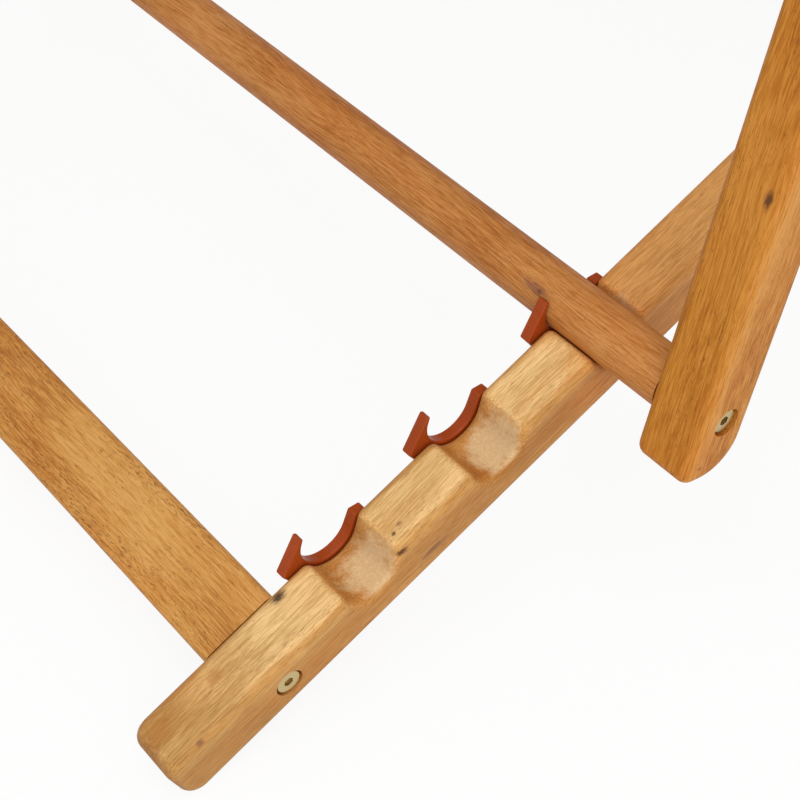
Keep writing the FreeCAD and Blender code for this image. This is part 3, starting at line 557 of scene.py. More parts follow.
@dataclass(frozen=True)
class OiledWood:
    """An oiled hardwood: fibres, strands, broad bands and open pores.

    Args:
        light: Colour of the palest wood.
        middle: Colour of most of it.
        dark: Colour of the darkest.
        pore: Colour in the open pores.
        tones: Places of the dark, middle and light colours in the wood's tone.
        fibres: Strength of the fine fibres.
        strands: Strength of the strands a few millimetres wide.
        bands: Strength of the broad bands.
        drift: Strength of slow changes of tone.
        sway: How far the fibres wander from straight lines, in millimetres.
        flush: Strength of the redder clouds.
        flush_fade: Where those start and are full in their noise.
        flush_tint: Their tint.
        pores: How dark the pores are.
        pore_limit: Where the pores start in their noise, lower for more of them.
        pore_spread: How much higher that is where they are few.
        pore_crowd: Where the pores start to crowd and are densest, in another noise.
        pore_edge: How sharp a pore's edge is.
        roughness: Roughness of the oiled surface.
        gloss_fade: Where the fibres are roughest and smoothest.
        gloss_range: What they add to the roughness there.
        sheen: How much light the oil throws back.
        relief: Depth of the fibres, in metres.
        fibre_height: Height of the fibres as a share of a pore's depth.
        bump: Strength of the relief.
        edge_fade: Where a rail's deeper edges start and are full, as shares of its half sizes.
        edge_depth: How strong they are.
        edge_tint: Their tint.
        painted_side_shading_fade: Where a rail's painted side light starts and is full, as shares of its half
            width.
        sides: Painted light, a tint that makes the side faces lighter.
        end_fade: How squarely the fibres end where the end grain's tint starts and is full.
        end_tint: Tint of the end grain.
        mark_fade: Where a mark starts and is full, as shares of its reach.
        mark_ragged: How ragged a mark's rim is.
        swirl_reach: How far the fibres bend round a knot, as a multiple of its reach.
    """

    light: Colour
    middle: Colour
    dark: Colour
    pore: Colour
    tones: Triple = (0.22, 0.5, 0.78)
    fibres: float = 1.8
    strands: float = 0.35
    bands: float = 0.5
    drift: float = 0.7
    sway: float = 11.0
    flush: float = 0.55
    flush_fade: Pair = (0.42, 0.66)
    flush_tint: Colour = (0.94, 0.78, 0.60)
    pores: float = 0.55
    pore_limit: float = 0.62
    pore_spread: float = 0.12
    pore_crowd: Pair = (0.35, 0.65)
    pore_edge: float = 14.0
    roughness: float = 0.5
    gloss_fade: Pair = (0.3, 0.7)
    gloss_range: Pair = (0.07, -0.05)
    sheen: float = 0.16
    relief: float = 0.00022
    fibre_height: float = 0.6
    bump: float = 0.35
    edge_fade: Pair = (0.66, 0.97)
    edge_depth: float = 0.6
    edge_tint: Colour = (0.86, 0.74, 0.56)
    painted_side_shading_fade: Pair = (0.72, 0.98)
    sides: Colour = (1.0, 1.0, 1.0)
    end_fade: Pair = (0.45, 0.95)
    end_tint: Colour = (0.77, 0.65, 0.49)
    mark_fade: Pair = (1.45, 0.75)
    mark_ragged: float = 1.1
    swirl_reach: float = 4.0

    def bend(self, shade: Shader, place: Value, marks: tuple[Mark, ...]) -> Value:
        """Places drawn in towards each knot, so that the fibres run round it."""
        for mark in marks:
            if not mark.swirl:
                continue
            offset = shade.vector("SUBTRACT", place, mark.place)
            reach = tuple(self.swirl_reach * part for part in mark.reach)
            near = shade.vector("LENGTH", shade.vector("DIVIDE", offset, reach))
            pull = shade.math("MULTIPLY", shade.ease(near, (1.0, 0.0)), mark.swirl)
            place = shade.vector("SUBTRACT", place, shade.scaled(offset, pull))
        return place

    def tone(self, shade: Shader, place: Value, seed: float) -> tuple[Socket, Socket, Socket]:
        """The wood's signals.

        Args:
            shade: The material's tree.
            place: Where to read them, in the timber's millimetres.
            seed: Moves every cloud.

        Returns:
            The tone from dark to light, the fibres and the pores.
        """
        middle = (shade.NOISE_MIDDLE,) * 3
        offset = shade.vector("SUBTRACT", shade.noise(place, Figure.SWAY, seed, "Color"), middle)
        run = shade.vector("MULTIPLY_ADD", offset, (0.0, self.sway, self.sway), place)
        fibre = shade.noise(run, Figure.FIBRE, seed)
        layers = (
            (fibre, self.fibres),
            (shade.noise(run, Figure.STRAND, seed), self.strands),
            (shade.noise(run, Figure.BAND, seed), self.bands),
            (shade.noise(place, Figure.DRIFT, seed), self.drift),
        )
        tone = shade.NOISE_MIDDLE
        for signal, share in layers:
            tone = shade.math("ADD", tone, shade.math("MULTIPLY", shade.centred(signal), share))
        crowd = shade.noise(place, Figure.PORE_CROWD, seed)
        limit = shade.ease(crowd, self.pore_crowd, (self.pore_limit + self.pore_spread, self.pore_limit))
        above = shade.math("SUBTRACT", shade.noise(run, Figure.PORE, seed), limit)
        return tone, fibre, shade.math("MULTIPLY", above, self.pore_edge, clamp=True)

    def paint(
        self,
        name: str,
        grain: Grain,
        seed: float,
        marks: tuple[Mark, ...] = (),
        saddles: Saddles | None = None,
    ) -> bpy.types.Material:
        """The finish of one timber.

        Args:
            name: The material's name.
            grain: The timber's own axes.
            seed: Makes this timber differ from the others.
            marks: Its knots and streaks.
            saddles: Its notches, where the wood is cut across and paler.

        Returns:
            The material.
        """
        shade = Shader(name)
        place = shade.local(grain)
        tone, fibre, pore = self.tone(shade, self.bend(shade, place, marks), seed)
        colour = shade.ramp(tone, self.tones, (self.dark, self.middle, self.light))
        rough = shade.ease(fibre, self.gloss_fade, around(self.roughness, self.gloss_range))
        blush = shade.ease(shade.noise(place, Figure.BLUSH, seed), self.flush_fade, (0.0, self.flush))
        colour = shade.tint(blush, colour, self.flush_tint)
        if grain.section:
            edge, side = self.oiled_edge_and_painted_side_shares(shade, place, grain.section)
            colour = shade.tint(shade.math("MULTIPLY", edge, self.edge_depth), colour, self.edge_tint)
            # Painted light: a lighter tint on the side faces, set for the legs.
            colour = shade.tint(side, colour, self.sides)
        if saddles:
            colour = saddles.rub_and_paint_shading(shade, place, colour, seed)
        colour = shade.tint(self.end_share(shade, grain), colour, self.end_tint)
        colour = shade.mix(shade.math("MULTIPLY", pore, self.pores), colour, self.pore)
        if saddles:
            colour, rough = saddles.lay(shade, place, colour, rough, seed)
        height = shade.math("SUBTRACT", shade.math("MULTIPLY", fibre, self.fibre_height), pore)
        for index, mark in enumerate(marks):
            colour, height = self.stain(shade, place, mark, colour, height, seed + index)
        return shade.close(
            Base_Color=colour,
            Roughness=rough,
            Normal=shade.bump(height, self.bump, self.relief),
            Specular_IOR_Level=self.sheen,
        )

    def oiled_edge_and_painted_side_shares(self, shade: Shader, place: Value, section: Triple) -> tuple[Socket, Socket]:
        """How near a place lies to a rail's rounded edges, where the oil is deeper, and to its sides, which
        take painted light.
        """
        middle, half_depth, half_width = section
        _, y, z = shade.parts(place)
        height = shade.math("ABSOLUTE", shade.math("SUBTRACT", y, middle))
        beside = shade.math("ABSOLUTE", z)
        near_top = shade.ease(height, tuple(share * half_depth for share in self.edge_fade))
        near_side = shade.ease(beside, tuple(share * half_width for share in self.edge_fade))
        # Painted light on the side faces.
        side = shade.ease(beside, tuple(share * half_width for share in self.painted_side_shading_fade))
        return shade.math("MULTIPLY", near_top, near_side), side

    def end_share(self, shade: Shader, grain: Grain) -> Socket:
        """How squarely the fibres end at the surface: none along a rail, full on its end."""
        along = tuple(grain.along.normalized())
        facing = shade.vector("DOT_PRODUCT", shade.coordinates.outputs["Normal"], along)
        return shade.ease(shade.math("ABSOLUTE", facing), self.end_fade)

    def stain(
        self, shade: Shader, place: Value, mark: Mark, colour: Value, height: Value, seed: float
    ) -> tuple[Socket, Socket]:
        """One mark laid over the wood, with a ragged rim and a little hollow.

        Args:
            shade: The material's tree.
            place: Places in the timber's millimetres.
            mark: The mark.
            colour: The wood's colour so far.
            height: The wood's relief so far.
            seed: Varies the rim.

        Returns:
            The new colour and relief.
        """
        offset = shade.vector("DIVIDE", shade.vector("SUBTRACT", place, mark.place), mark.reach)
        wander = shade.noise(place, Figure.MARK_RIM, seed)
        away = shade.math("MULTIPLY_ADD", wander, self.mark_ragged, shade.vector("LENGTH", offset))
        cover = shade.ease(away, self.mark_fade, (0.0, mark.depth))
        return shade.mix(cover, colour, mark.colour), shade.math("SUBTRACT", height, cover)


@dataclass(frozen=True)
class MouldedPlastic:
    """A half-gloss moulded plastic with a fine grain.

    Args:
        colour: Its colour.
        deep: Its deeper colour.
        tones: Places of the deep colour and the other one in their noise.
        roughness: Roughness of the surface.
        scuff_fade: Where scuffs start and are full.
        scuff_range: What they add to the roughness there.
        sheen: How much light it throws back.
        bump: Strength of the fine pits.
        relief: Depth of the pits, in metres.
    """

    colour: Colour
    deep: Colour
    tones: Pair = (0.3, 0.7)
    roughness: float = 0.3
    scuff_fade: Pair = (0.35, 0.7)
    scuff_range: Pair = (-0.06, 0.14)
    sheen: float = 0.15
    bump: float = 0.12
    relief: float = 0.00012

    def paint(self, name: str) -> bpy.types.Material:
        """The finish of the clips."""
        shade = Shader(name)
        place = shade.millimetres()
        flow = shade.noise(place, Figure.PLASTIC_FLOW)
        scuff = shade.noise(place, Figure.PLASTIC_SCUFF)
        return shade.close(
            Base_Color=shade.ramp(flow, self.tones, (self.deep, self.colour)),
            Roughness=shade.ease(scuff, self.scuff_fade, around(self.roughness, self.scuff_range)),
            Normal=shade.bump(shade.noise(place, Figure.PLASTIC_PITS), self.bump, self.relief),
            Specular_IOR_Level=self.sheen,
        )


@dataclass(frozen=True)
class PlatedSteel:
    """Zinc-plated steel with a yellow passivated tint that shifts from place to place.

    Args:
        warm: The yellower tint.
        cool: The greyer tint.
        tones: Places of the grey and the yellow tint in their noise.
        roughness: Roughness of the plating.
        grit_fade: Where the plating is smoothest and roughest.
        grit_range: What that adds to the roughness.
        bump: Strength of the fine grit.
        relief: Depth of the grit, in metres.
    """

    warm: Colour
    cool: Colour
    tones: Pair = (0.36, 0.64)
    roughness: float = 0.3
    grit_fade: Pair = (0.3, 0.75)
    grit_range: Pair = (-0.07, 0.18)
    bump: float = 0.08
    relief: float = 0.0001

    def paint(self, name: str) -> bpy.types.Material:
        """The finish of screws, bolts, nuts and washers."""
        shade = Shader(name)
        place = shade.millimetres()
        grit = shade.noise(place, Figure.STEEL_GRIT)
        return shade.close(
            Base_Color=shade.ramp(shade.noise(place, Figure.PLATING), self.tones, (self.cool, self.warm)),
            Metallic=1.0,
            Roughness=shade.ease(grit, self.grit_fade, around(self.roughness, self.grit_range)),
            Normal=shade.bump(grit, self.bump, self.relief),
        )


@dataclass(frozen=True)
class Canvas:
    """A plain-weave cotton canvas, read on the cloth's own flat measure in metres.

    Args:
        thread: Colour of the threads.
        gap: Colour between them.
        tones: Places of the gap's and the thread's colour in the weave.
        pitch: Length of two threads.
        slubs: Strength of thick and thin threads.
        wear: Strength of worn patches.
        weave: Strength of the threads themselves.
        roughness: Roughness of the cloth.
        sheen: How much light it throws back.
        fuzz: Strength of its fuzz.
        fuzz_roughness: Roughness of the fuzz.
        bump: Strength of the relief.
        relief: Depth of the weave, in metres.
    """

    thread: Colour
    gap: Colour
    tones: Pair = (0.48, 0.98)
    pitch: float = 0.0013
    slubs: float = 0.6
    wear: float = 0.35
    weave: float = 0.10
    roughness: float = 0.92
    sheen: float = 0.2
    fuzz: float = 0.2
    fuzz_roughness: float = 0.5
    bump: float = 0.4
    relief: float = 0.00035

    def paint(self, name: str) -> bpy.types.Material:
        """The finish of the sling."""
        shade = Shader(name)
        flat = shade.coordinates.outputs["UV"]
        warp, weft, _ = shade.parts(shade.scaled(flat, 2 * math.pi / self.pitch))
        over = shade.math("MULTIPLY", shade.math("SINE", warp), shade.math("SINE", weft))
        slub = shade.math("ADD", shade.noise(flat, Figure.WARP_SLUBS), shade.noise(flat, Figure.WEFT_SLUBS))
        wear = shade.math("MULTIPLY", shade.noise(flat, Figure.CLOTH_WEAR), self.wear)
        level = shade.math("MULTIPLY_ADD", slub, self.slubs, wear)
        level = shade.math("MULTIPLY_ADD", over, self.weave, level)
        return shade.close(
            Base_Color=shade.ramp(level, self.tones, (self.gap, self.thread)),
            Roughness=self.roughness,
            Normal=shade.bump(shade.math("ADD", over, slub), self.bump, self.relief),
            Specular_IOR_Level=self.sheen,
            Sheen_Weight=self.fuzz,
            Sheen_Roughness=self.fuzz_roughness,
        )


@dataclass(frozen=True)
class Thread:
    """A twisted sewing thread.

    Args:
        colour: Its colour.
        deep: Its deeper colour.
        tones: Places of the deep colour and the other one in the twist.
        roughness: Roughness of the thread.
        bump: Strength of the twist's relief.
        relief: Depth of the twist, in metres.
    """

    colour: Colour
    deep: Colour
    tones: Pair = (0.35, 0.65)
    roughness: float = 0.75
    bump: float = 0.3
    relief: float = 0.0001

    def paint(self, name: str) -> bpy.types.Material:
        """The finish of the stitches."""
        shade = Shader(name)
        twist = shade.noise(shade.millimetres(), Figure.THREAD_TWIST)
        return shade.close(
            Base_Color=shade.ramp(twist, self.tones, (self.deep, self.colour)),
            Roughness=self.roughness,
            Normal=shade.bump(twist, self.bump, self.relief),
        )


@dataclass(frozen=True)
class Finishes:
    """Every finish of the chair.

    Args:
        rail: Wood of the seat's and the back's rails.
        leg: Wood of the prop legs.
        dowel: Wood of the dowel and the round bars.
        board: Wood of the boards.
        pin: Wood of the boards' pins.
        clip: Plastic of the clips.
        steel: Steel of screws, bolts, nuts and washers.
        canvas: Cloth of the sling.
        thread: Thread of its seams.
    """

    rail: OiledWood = OiledWood(
        light=(0.84, 0.54, 0.235), middle=(0.70, 0.425, 0.170), dark=(0.54, 0.295, 0.098),
        pore=(0.25, 0.105, 0.032),
    )
    # The legs' side faces are painted lighter, as painted light.
    leg: OiledWood = OiledWood(
        light=(0.60, 0.255, 0.042), middle=(0.50, 0.19, 0.020), dark=(0.36, 0.115, 0.009),
        pore=(0.17, 0.052, 0.008), sides=(1.10, 1.18, 1.7),
    )
    dowel: OiledWood = OiledWood(
        light=(0.60, 0.275, 0.085), middle=(0.50, 0.20, 0.048), dark=(0.35, 0.115, 0.022),
        pore=(0.20, 0.065, 0.016),
    )
    board: OiledWood = OiledWood(
        light=(0.66, 0.35, 0.105), middle=(0.56, 0.26, 0.060), dark=(0.40, 0.155, 0.030),
        pore=(0.17, 0.06, 0.014), pores=0.7, pore_limit=0.565,
    )
    pin: OiledWood = OiledWood(
        light=(0.80, 0.62, 0.40), middle=(0.70, 0.52, 0.31), dark=(0.56, 0.38, 0.20),
        pore=(0.30, 0.18, 0.09),
    )
    clip: MouldedPlastic = MouldedPlastic(colour=(0.345, 0.055, 0.008), deep=(0.30, 0.046, 0.006))
    steel: PlatedSteel = PlatedSteel(warm=(0.58, 0.42, 0.17), cool=(0.54, 0.43, 0.22))
    canvas: Canvas = Canvas(thread=(0.80, 0.74, 0.61), gap=(0.62, 0.55, 0.42))
    thread: Thread = Thread(colour=(0.66, 0.58, 0.43), deep=(0.50, 0.42, 0.29))


BARK: Colour = (0.10, 0.05, 0.025)
KNOT: Colour = (0.09, 0.03, 0.012)
PURPLE: Colour = (0.20, 0.075, 0.045)
RUST: Colour = (0.42, 0.17, 0.04)


@dataclass
class WoodenFrame:
    """One of the chair's frames: a pair of rails and the pieces across them.

    Args:
        layout: Directions and places of the chair.
        finishes: The chair's finishes.
        part: Which frame it is.
        rails: Name of its rails, without their side.
        seed: Makes its timbers differ from those of the other frames.
    """

    layout: Layout
    finishes: Finishes
    part: Part = Part.SEAT
    rails: str = ""
    seed: float = 0.0

    def rail_finish(self) -> OiledWood:
        """The wood of the rails."""
        return self.finishes.rail

    def crossing(self) -> dict[str, OiledWood]:
        """The pieces across the frame, and their wood."""
        return {}

    def marks(self) -> dict[str, tuple[Mark, ...]]:
        """The knots and streaks that show on single timbers."""
        return {}

    def saddles(self, side: str) -> Saddles | None:
        """The notches of the rail on a side, where it has any."""
        return None

    def dress(self) -> None:
        """Gives every timber of the frame its finish."""
        marks = self.marks()
        seed = self.seed
        for side in SIDES:
            node = f"{self.rails}_{side}"
            grain = self.layout.rail_grain(node, self.part)
            wood = self.rail_finish()
            dress_node(node, wood.paint(f"wood_{node}", grain, seed, marks.get(node, ()), self.saddles(side)))
            seed += SEED_STEP
        for node, wood in self.crossing().items():
            grain = self.layout.cross_grain(node)
            dress_node(node, wood.paint(f"wood_{node}", grain, seed, marks.get(node, ())))
            seed += SEED_STEP


@dataclass
class SeatFrame(WoodenFrame):
    """The notched seat rails, the rear board and the bar that carries the front of the sling."""

    part: Part = Part.SEAT
    rails: str = "seat_rail"
    seed: float = 13.7

    def crossing(self) -> dict[str, OiledWood]:
        """The pieces across the frame, and their wood."""
        return {
            "rear_cross_board": self.finishes.board,
            "front_sling_bar": self.finishes.dowel,
            "rear_board_pins": self.finishes.pin,
        }

    def marks(self) -> dict[str, tuple[Mark, ...]]:
        """The knots and streaks that show on single timbers."""
        return {
            "seat_rail_right": (
                Mark((-172.5, -0.4, -9.8), (6.5, 3.0, 4.0), BARK, 1.0, 0.3),
                Mark((-212.5, 0.0, -3.6), (6.0, 4.0, 5.0), RUST, 0.6),
                Mark((-224.0, -1.0, -12.5), (20.0, 4.5, 4.0), RUST, 0.5),
                Mark((-243.0, -1.0, -3.0), (9.0, 6.0, 10.0), RUST, 0.5),
                Mark((-233.9, -0.9, 12.9), (3.0, 2.4, 2.2), PURPLE, 0.75),
                Mark((-125.6, -2.9, 13.8), (7.0, 2.4, 2.0), KNOT, 0.95),
                Mark((-121.5, 0.0, 6.5), (1.8, 1.5, 1.4), KNOT, 0.9),
                Mark((-117.0, 0.0, 5.0), (2.4, 1.5, 1.4), KNOT, 0.5),
                Mark((-112.0, -18.2, 14.25), (11.0, 2.4, 2.0), PURPLE, 0.75),
            ),
            "seat_rail_left": (Mark((210.0, 0.0, 6.0), (6.0, 4.0, 4.0), KNOT, 0.8, 0.45),),
        }

    def saddles(self, side: str) -> Saddles:
        """The three notches of the rail on a side."""
        return Saddles(tuple(self.layout.notch_steps), outward=1.0 if side == "right" else -1.0)


@dataclass
class BackFrame(WoodenFrame):
    """The back rails, the foot board and the bar that carries the top of the sling."""

    part: Part = Part.BACK
    rails: str = "back_rail"
    seed: float = 91.3

    def crossing(self) -> dict[str, OiledWood]:
        """The pieces across the frame, and their wood."""
        return {
            "foot_cross_board": self.finishes.board,
            "top_sling_bar": self.finishes.dowel,
            "foot_board_pins": self.finishes.pin,
        }

    def marks(self) -> dict[str, tuple[Mark, ...]]:
        """The knots and streaks that show on single timbers."""
        return {
            "back_rail_right": (Mark((420.0, 14.75, -5.0), (6.0, 4.0, 4.0), KNOT, 0.8, 0.45),),
            "back_rail_left": (Mark((-120.0, 14.75, 4.0), (4.0, 3.0, 3.0), KNOT, 0.7, 0.4),),
            "foot_cross_board": (Mark((70.0, 8.0, -16.0), (5.0, 6.0, 6.0), PURPLE, 0.5, 0.4),),
        }


@dataclass
class PropFrame(WoodenFrame):
    """The prop legs and the dowel that lies in the notches."""

    part: Part = Part.PROP
    rails: str = "prop_leg"
    seed: float = 171.9

    def rail_finish(self) -> OiledWood:
        """The wood of the legs."""
        return self.finishes.leg

    def crossing(self) -> dict[str, OiledWood]:
        """The pieces across the frame, and their wood."""
        return {"prop_cross_dowel": self.finishes.dowel}

    def marks(self) -> dict[str, tuple[Mark, ...]]:
        """The knots and streaks that show on single timbers."""
        return {
            "prop_leg_right": (
                Mark((103.0, 14.75, 8.0), (6.0, 3.6, 2.8), KNOT, 0.9, 0.45),
                Mark((-20.4, 7.8, 14.25), (1.6, 1.6, 1.6), KNOT, 0.6),
            ),
            "prop_cross_dowel": (
                Mark((-209.1, 7.1, -10.3), (2.0, 1.8, 1.8), KNOT, 0.95, 0.4),
                Mark((-206.3, 7.1, -10.3), (12.0, 4.0, 4.0), PURPLE, 0.7),
                Mark((-280.0, 0.0, 0.0), (34.0, 16.0, 16.0), RUST, 0.45),
            ),
        }


class NodeTree:
    """A geometry node tree with named sizes and a material, built node by node.

    Args:
        name: The tree's name.
        sizes: Its sizes, by their names.
    """

    def __init__(self, name: str, sizes: dict[str, float]) -> None:
        self.sizes = sizes
        self.tree = bpy.data.node_groups.new(name, "GeometryNodeTree")
        sockets = self.tree.interface
        sockets.new_socket("Geometry", in_out="INPUT", socket_type="NodeSocketGeometry")
        sockets.new_socket("Geometry", in_out="OUTPUT", socket_type="NodeSocketGeometry")
        for label in sizes:
            sockets.new_socket(label, in_out="INPUT", socket_type="NodeSocketFloat")
        sockets.new_socket("Material", in_out="INPUT", socket_type="NodeSocketMaterial")
        self.entry = self.tree.nodes.new("NodeGroupInput")
        self.exit = self.tree.nodes.new("NodeGroupOutput")

    def node(self, kind: str, inputs: dict[str | int, object], **settings: object) -> bpy.types.Node:
        """A new node, with its properties set and its inputs linked or filled.

        Args:
            kind: The node's type.
            inputs: Sockets or values, by the input's name or number. A list is joined in one input.
            settings: The node's properties.

        Returns:
            The node.
        """
        node = add_node(self.tree, kind, **settings)
        for name, value in inputs.items():
            for source in value if isinstance(value, list) else [value]:
                if isinstance(source, Socket):
                    self.tree.links.new(source, node.inputs[name])
                else:
                    node.inputs[name].default_value = source
        return node

    def made(self, kind: str, inputs: dict[str | int, object], **settings: object) -> Socket:
        """The first output of a new node."""
        return self.node(kind, inputs, **settings).outputs[0]

    def size(self, label: str) -> Socket:
        """One of the named sizes."""
        return self.entry.outputs[label]

    def times(self, label: str, factor: float) -> Socket:
        """One of the named sizes times a number."""
        return self.made("ShaderNodeMath", {0: self.size(label), 1: factor}, operation="MULTIPLY")

    def xyz(self, **parts: Socket) -> Socket:
        """A vector with some of its X, Y and Z linked."""
        return self.made("ShaderNodeCombineXYZ", parts)

    def turned(
        self, axis: str, vector: Socket, rotation: Socket | None = None, pivot: str = "AUTO"
    ) -> Socket:
        """A rotation whose axis is turned to a vector."""
        inputs = {"Vector": vector}
        if rotation is not None:
            inputs["Rotation"] = rotation
        return self.made("FunctionNodeAlignRotationToVector", inputs, axis=axis, pivot_axis=pivot)

    def attribute(self, name: str) -> Socket:
        """A vector stored on the points."""
        return self.made("GeometryNodeInputNamedAttribute", {"Name": name}, data_type="FLOAT_VECTOR")

    def scatter(self, points: Socket, shape: Socket, turn: Socket) -> None:
        """Puts the shape on every point, as real mesh with the material, and ends the tree."""
        inputs = {"Points": points, "Instance": shape, "Rotation": turn}
        placed = self.made("GeometryNodeInstanceOnPoints", inputs)
        real = self.made("GeometryNodeRealizeInstances", {"Geometry": placed})
        dressed = self.made("GeometryNodeSetMaterial", {"Geometry": real, "Material": self.size("Material")})
        self.tree.links.new(dressed, self.exit.inputs["Geometry"])

    def grow(self, name: str, base: bpy.types.Mesh, material: bpy.types.Material) -> bpy.types.Object:
        """Runs the tree on a mesh and keeps the result as a plain mesh.

        Args:
            name: The new piece's name.
            base: The points or lines that it grows on.
            material: Its finish.

        Returns:
            The new piece.
        """
        source = add_object(f"{name}_base", base)
        modifier = source.modifiers.new("grow", "NODES")
        modifier.node_group = self.tree
        values = {**self.sizes, "Material": material}
        for item in self.tree.interface.items_tree:
            if item.in_out == "INPUT" and item.name in values:
                modifier[item.identifier] = values[item.name]
        mesh = bpy.data.meshes.new_from_object(source.evaluated_get(bpy.context.evaluated_depsgraph_get()))
        mesh.name = name
        source.modifiers.remove(modifier)
        bpy.data.objects.remove(source)
        log.info("%s: %d faces", name, len(mesh.polygons))
        return add_object(name, mesh)


def store_vectors(mesh: bpy.types.Mesh, name: str, vectors: np.ndarray) -> None:
    """Stores a vector on each point of a mesh."""
    attribute = mesh.attributes.new(name, "FLOAT_VECTOR", "POINT")
    attribute.data.foreach_set("vector", np.asarray(vectors, np.float32).ravel())


@dataclass
class Hardware:
    """Clips, screws, bolts, nuts and washers.

    Args:
        layout: Directions and places of the chair.
        finishes: The chair's finishes.
        screw_reach: How far each clip screw lies from the notch along the rail.
        screw_drop: How far it lies below the notch's axis.
        sizes: Sizes of a clip screw, in metres.
        head_sides: Flats round a screw's head.
        shank_sides: Flats round its shank.
        shank_sink: Middle of the shank below the head's face, as a share of its length.
        spin: Least and most turn of a screw.
        spin_seed: Varies the screws' turns.
    """

    layout: Layout
    finishes: Finishes
    screw_reach: float = 0.0129
    screw_drop: float = 0.0170
    sizes: dict[str, float] = field(default_factory=lambda: {
        "Head radius": 0.0035, "Shank radius": 0.00175, "Length": 0.020, "Slot length": 0.0042,
        "Slot width": 0.0009, "Slot depth": 0.0022,
    })
    head_sides: int = 28
    shank_sides: int = 16
    shank_sink: float = 0.51
    spin: Pair = (0.0, math.pi / 2)
    spin_seed: int = 5

    def dress(self) -> None:
        """Gives the clips and the steel their finishes, and drives the clip screws."""
        clip = self.finishes.clip.paint("clip_plastic")
        steel = self.finishes.steel.paint("plated_steel")
        for node in sorted(frame["nodes"]):
            if node.startswith("notch_clip"):
                dress_node(node, clip)
            elif node.endswith(("screws", "bolts", "nuts", "washers")):
                dress_node(node, steel)
        self.drive_screws(steel)

    def screw_points(self) -> bpy.types.Mesh:
        """A point at the middle of each clip screw's head, with the way that the head faces."""
        layout = self.layout
        points, faces = [], []
        for side, inward in zip(SIDES, (1.0, -1.0)):
            low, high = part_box(f"notch_clip_{side}_front")
            inner_face = high.x if inward > 0 else low.x
            for step in layout.notch_steps:
                for reach in (self.screw_reach, -self.screw_reach):
                    along = layout.seat_along * (step * MM + reach)
                    place = layout.dowel + along - layout.seat_up * self.screw_drop
                    points.append((inner_face, place.y, place.z))
                    faces.append((inward, 0.0, 0.0))
        mesh = bpy.data.meshes.new("clip_screw_points")
        mesh.from_pydata(points, [], [])
        store_vectors(mesh, "facing", faces)
        return mesh

    def screw_tree(self) -> NodeTree:
        """A countersunk screw with a cross recess, on every point and turned by chance."""
        tree = NodeTree("clip_screws", self.sizes)
        head_radius, shank_radius = tree.size("Head radius"), tree.size("Shank radius")
        taper = tree.made("ShaderNodeMath", {0: head_radius, 1: shank_radius}, operation="SUBTRACT")
        head = tree.made("GeometryNodeMeshCone", {
            "Vertices": self.head_sides,
            "Radius Top": shank_radius,
            "Radius Bottom": head_radius,
            "Depth": taper,
        })
        head = tree.made("GeometryNodeTransform", {"Geometry": head, "Rotation": (math.pi, 0, 0)})
        length, width, depth = (tree.size(f"Slot {name}") for name in ("length", "width", "depth"))
        slots = []
        for long, short in (("X", "Y"), ("Y", "X")):
            sides = {long: length, short: width, "Z": depth}
            slots.append(tree.made("GeometryNodeMeshCube", {"Size": tree.xyz(**sides)}))
        recess = tree.made("GeometryNodeJoinGeometry", {0: slots})
        cut = tree.made(
            "GeometryNodeMeshBoolean", {0: head, 1: recess, "Self Intersection": True},
            operation="DIFFERENCE", solver="EXACT",
        )
        shank = tree.made("GeometryNodeMeshCylinder", {
            "Vertices": self.shank_sides, "Radius": shank_radius, "Depth": tree.size("Length"),
        })
        sink = tree.xyz(Z=tree.times("Length", -self.shank_sink))
        shank = tree.made("GeometryNodeTransform", {"Geometry": shank, "Translation": sink})
        screw = tree.made("GeometryNodeJoinGeometry", {0: [cut, shank]})
        chance = tree.node("FunctionNodeRandomValue", {"Seed": self.spin_seed}, data_type="FLOAT")
        limits = [socket for socket in chance.inputs if socket.enabled]
        limits[0].default_value, limits[1].default_value = self.spin
        spin = next(socket for socket in chance.outputs if socket.enabled)
        twist = tree.made("FunctionNodeEulerToRotation", {0: tree.xyz(Z=spin)})
        facing = tree.turned("Z", tree.attribute("facing"))
        turn = tree.made(
            "FunctionNodeRotateRotation", {"Rotation": facing, "Rotate By": twist}, rotation_space="LOCAL"
        )
        points = tree.made("GeometryNodeMeshToPoints", {"Mesh": tree.size("Geometry")})
        tree.scatter(points, screw, turn)
        return tree

    def drive_screws(self, steel: bpy.types.Material) -> None:
        """The countersunk screws that hold the clips."""
        screws = self.screw_tree().grow("clip_screw_set", self.screw_points(), steel)
        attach(screws, Part.SEAT.value)
        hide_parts("clip_screws")


def resample(values: np.ndarray, places: np.ndarray) -> np.ndarray:
    """Reads rows of a table at fractional row numbers, along smooth curves through the rows.

    Args:
        values: The table, whose first axis counts the rows.
        places: Row numbers from 0 to the last.

    Returns:
        One row for each place.
    """
    last = len(values) - 1
    index = np.clip(np.floor(places).astype(int), 0, last - 1)
    part = (places - index).reshape((-1,) + (1,) * (values.ndim - 1))
    before, start, end, after = (values[np.clip(index + k, 0, last)] for k in (-1, 0, 1, 2))
    bend = 2 * before - 5 * start + 4 * end - after
    twist = 3 * (start - end) + after - before
    return start + 0.5 * part * (end - before + part * (bend + part * twist))


def quads_of(index: np.ndarray) -> np.ndarray:
    """The faces between the rows and columns of a table of point numbers."""
    corners = (index[:-1, :-1], index[:-1, 1:], index[1:, 1:], index[1:, :-1])
    return np.stack(corners, axis=-1).reshape(-1, 4)


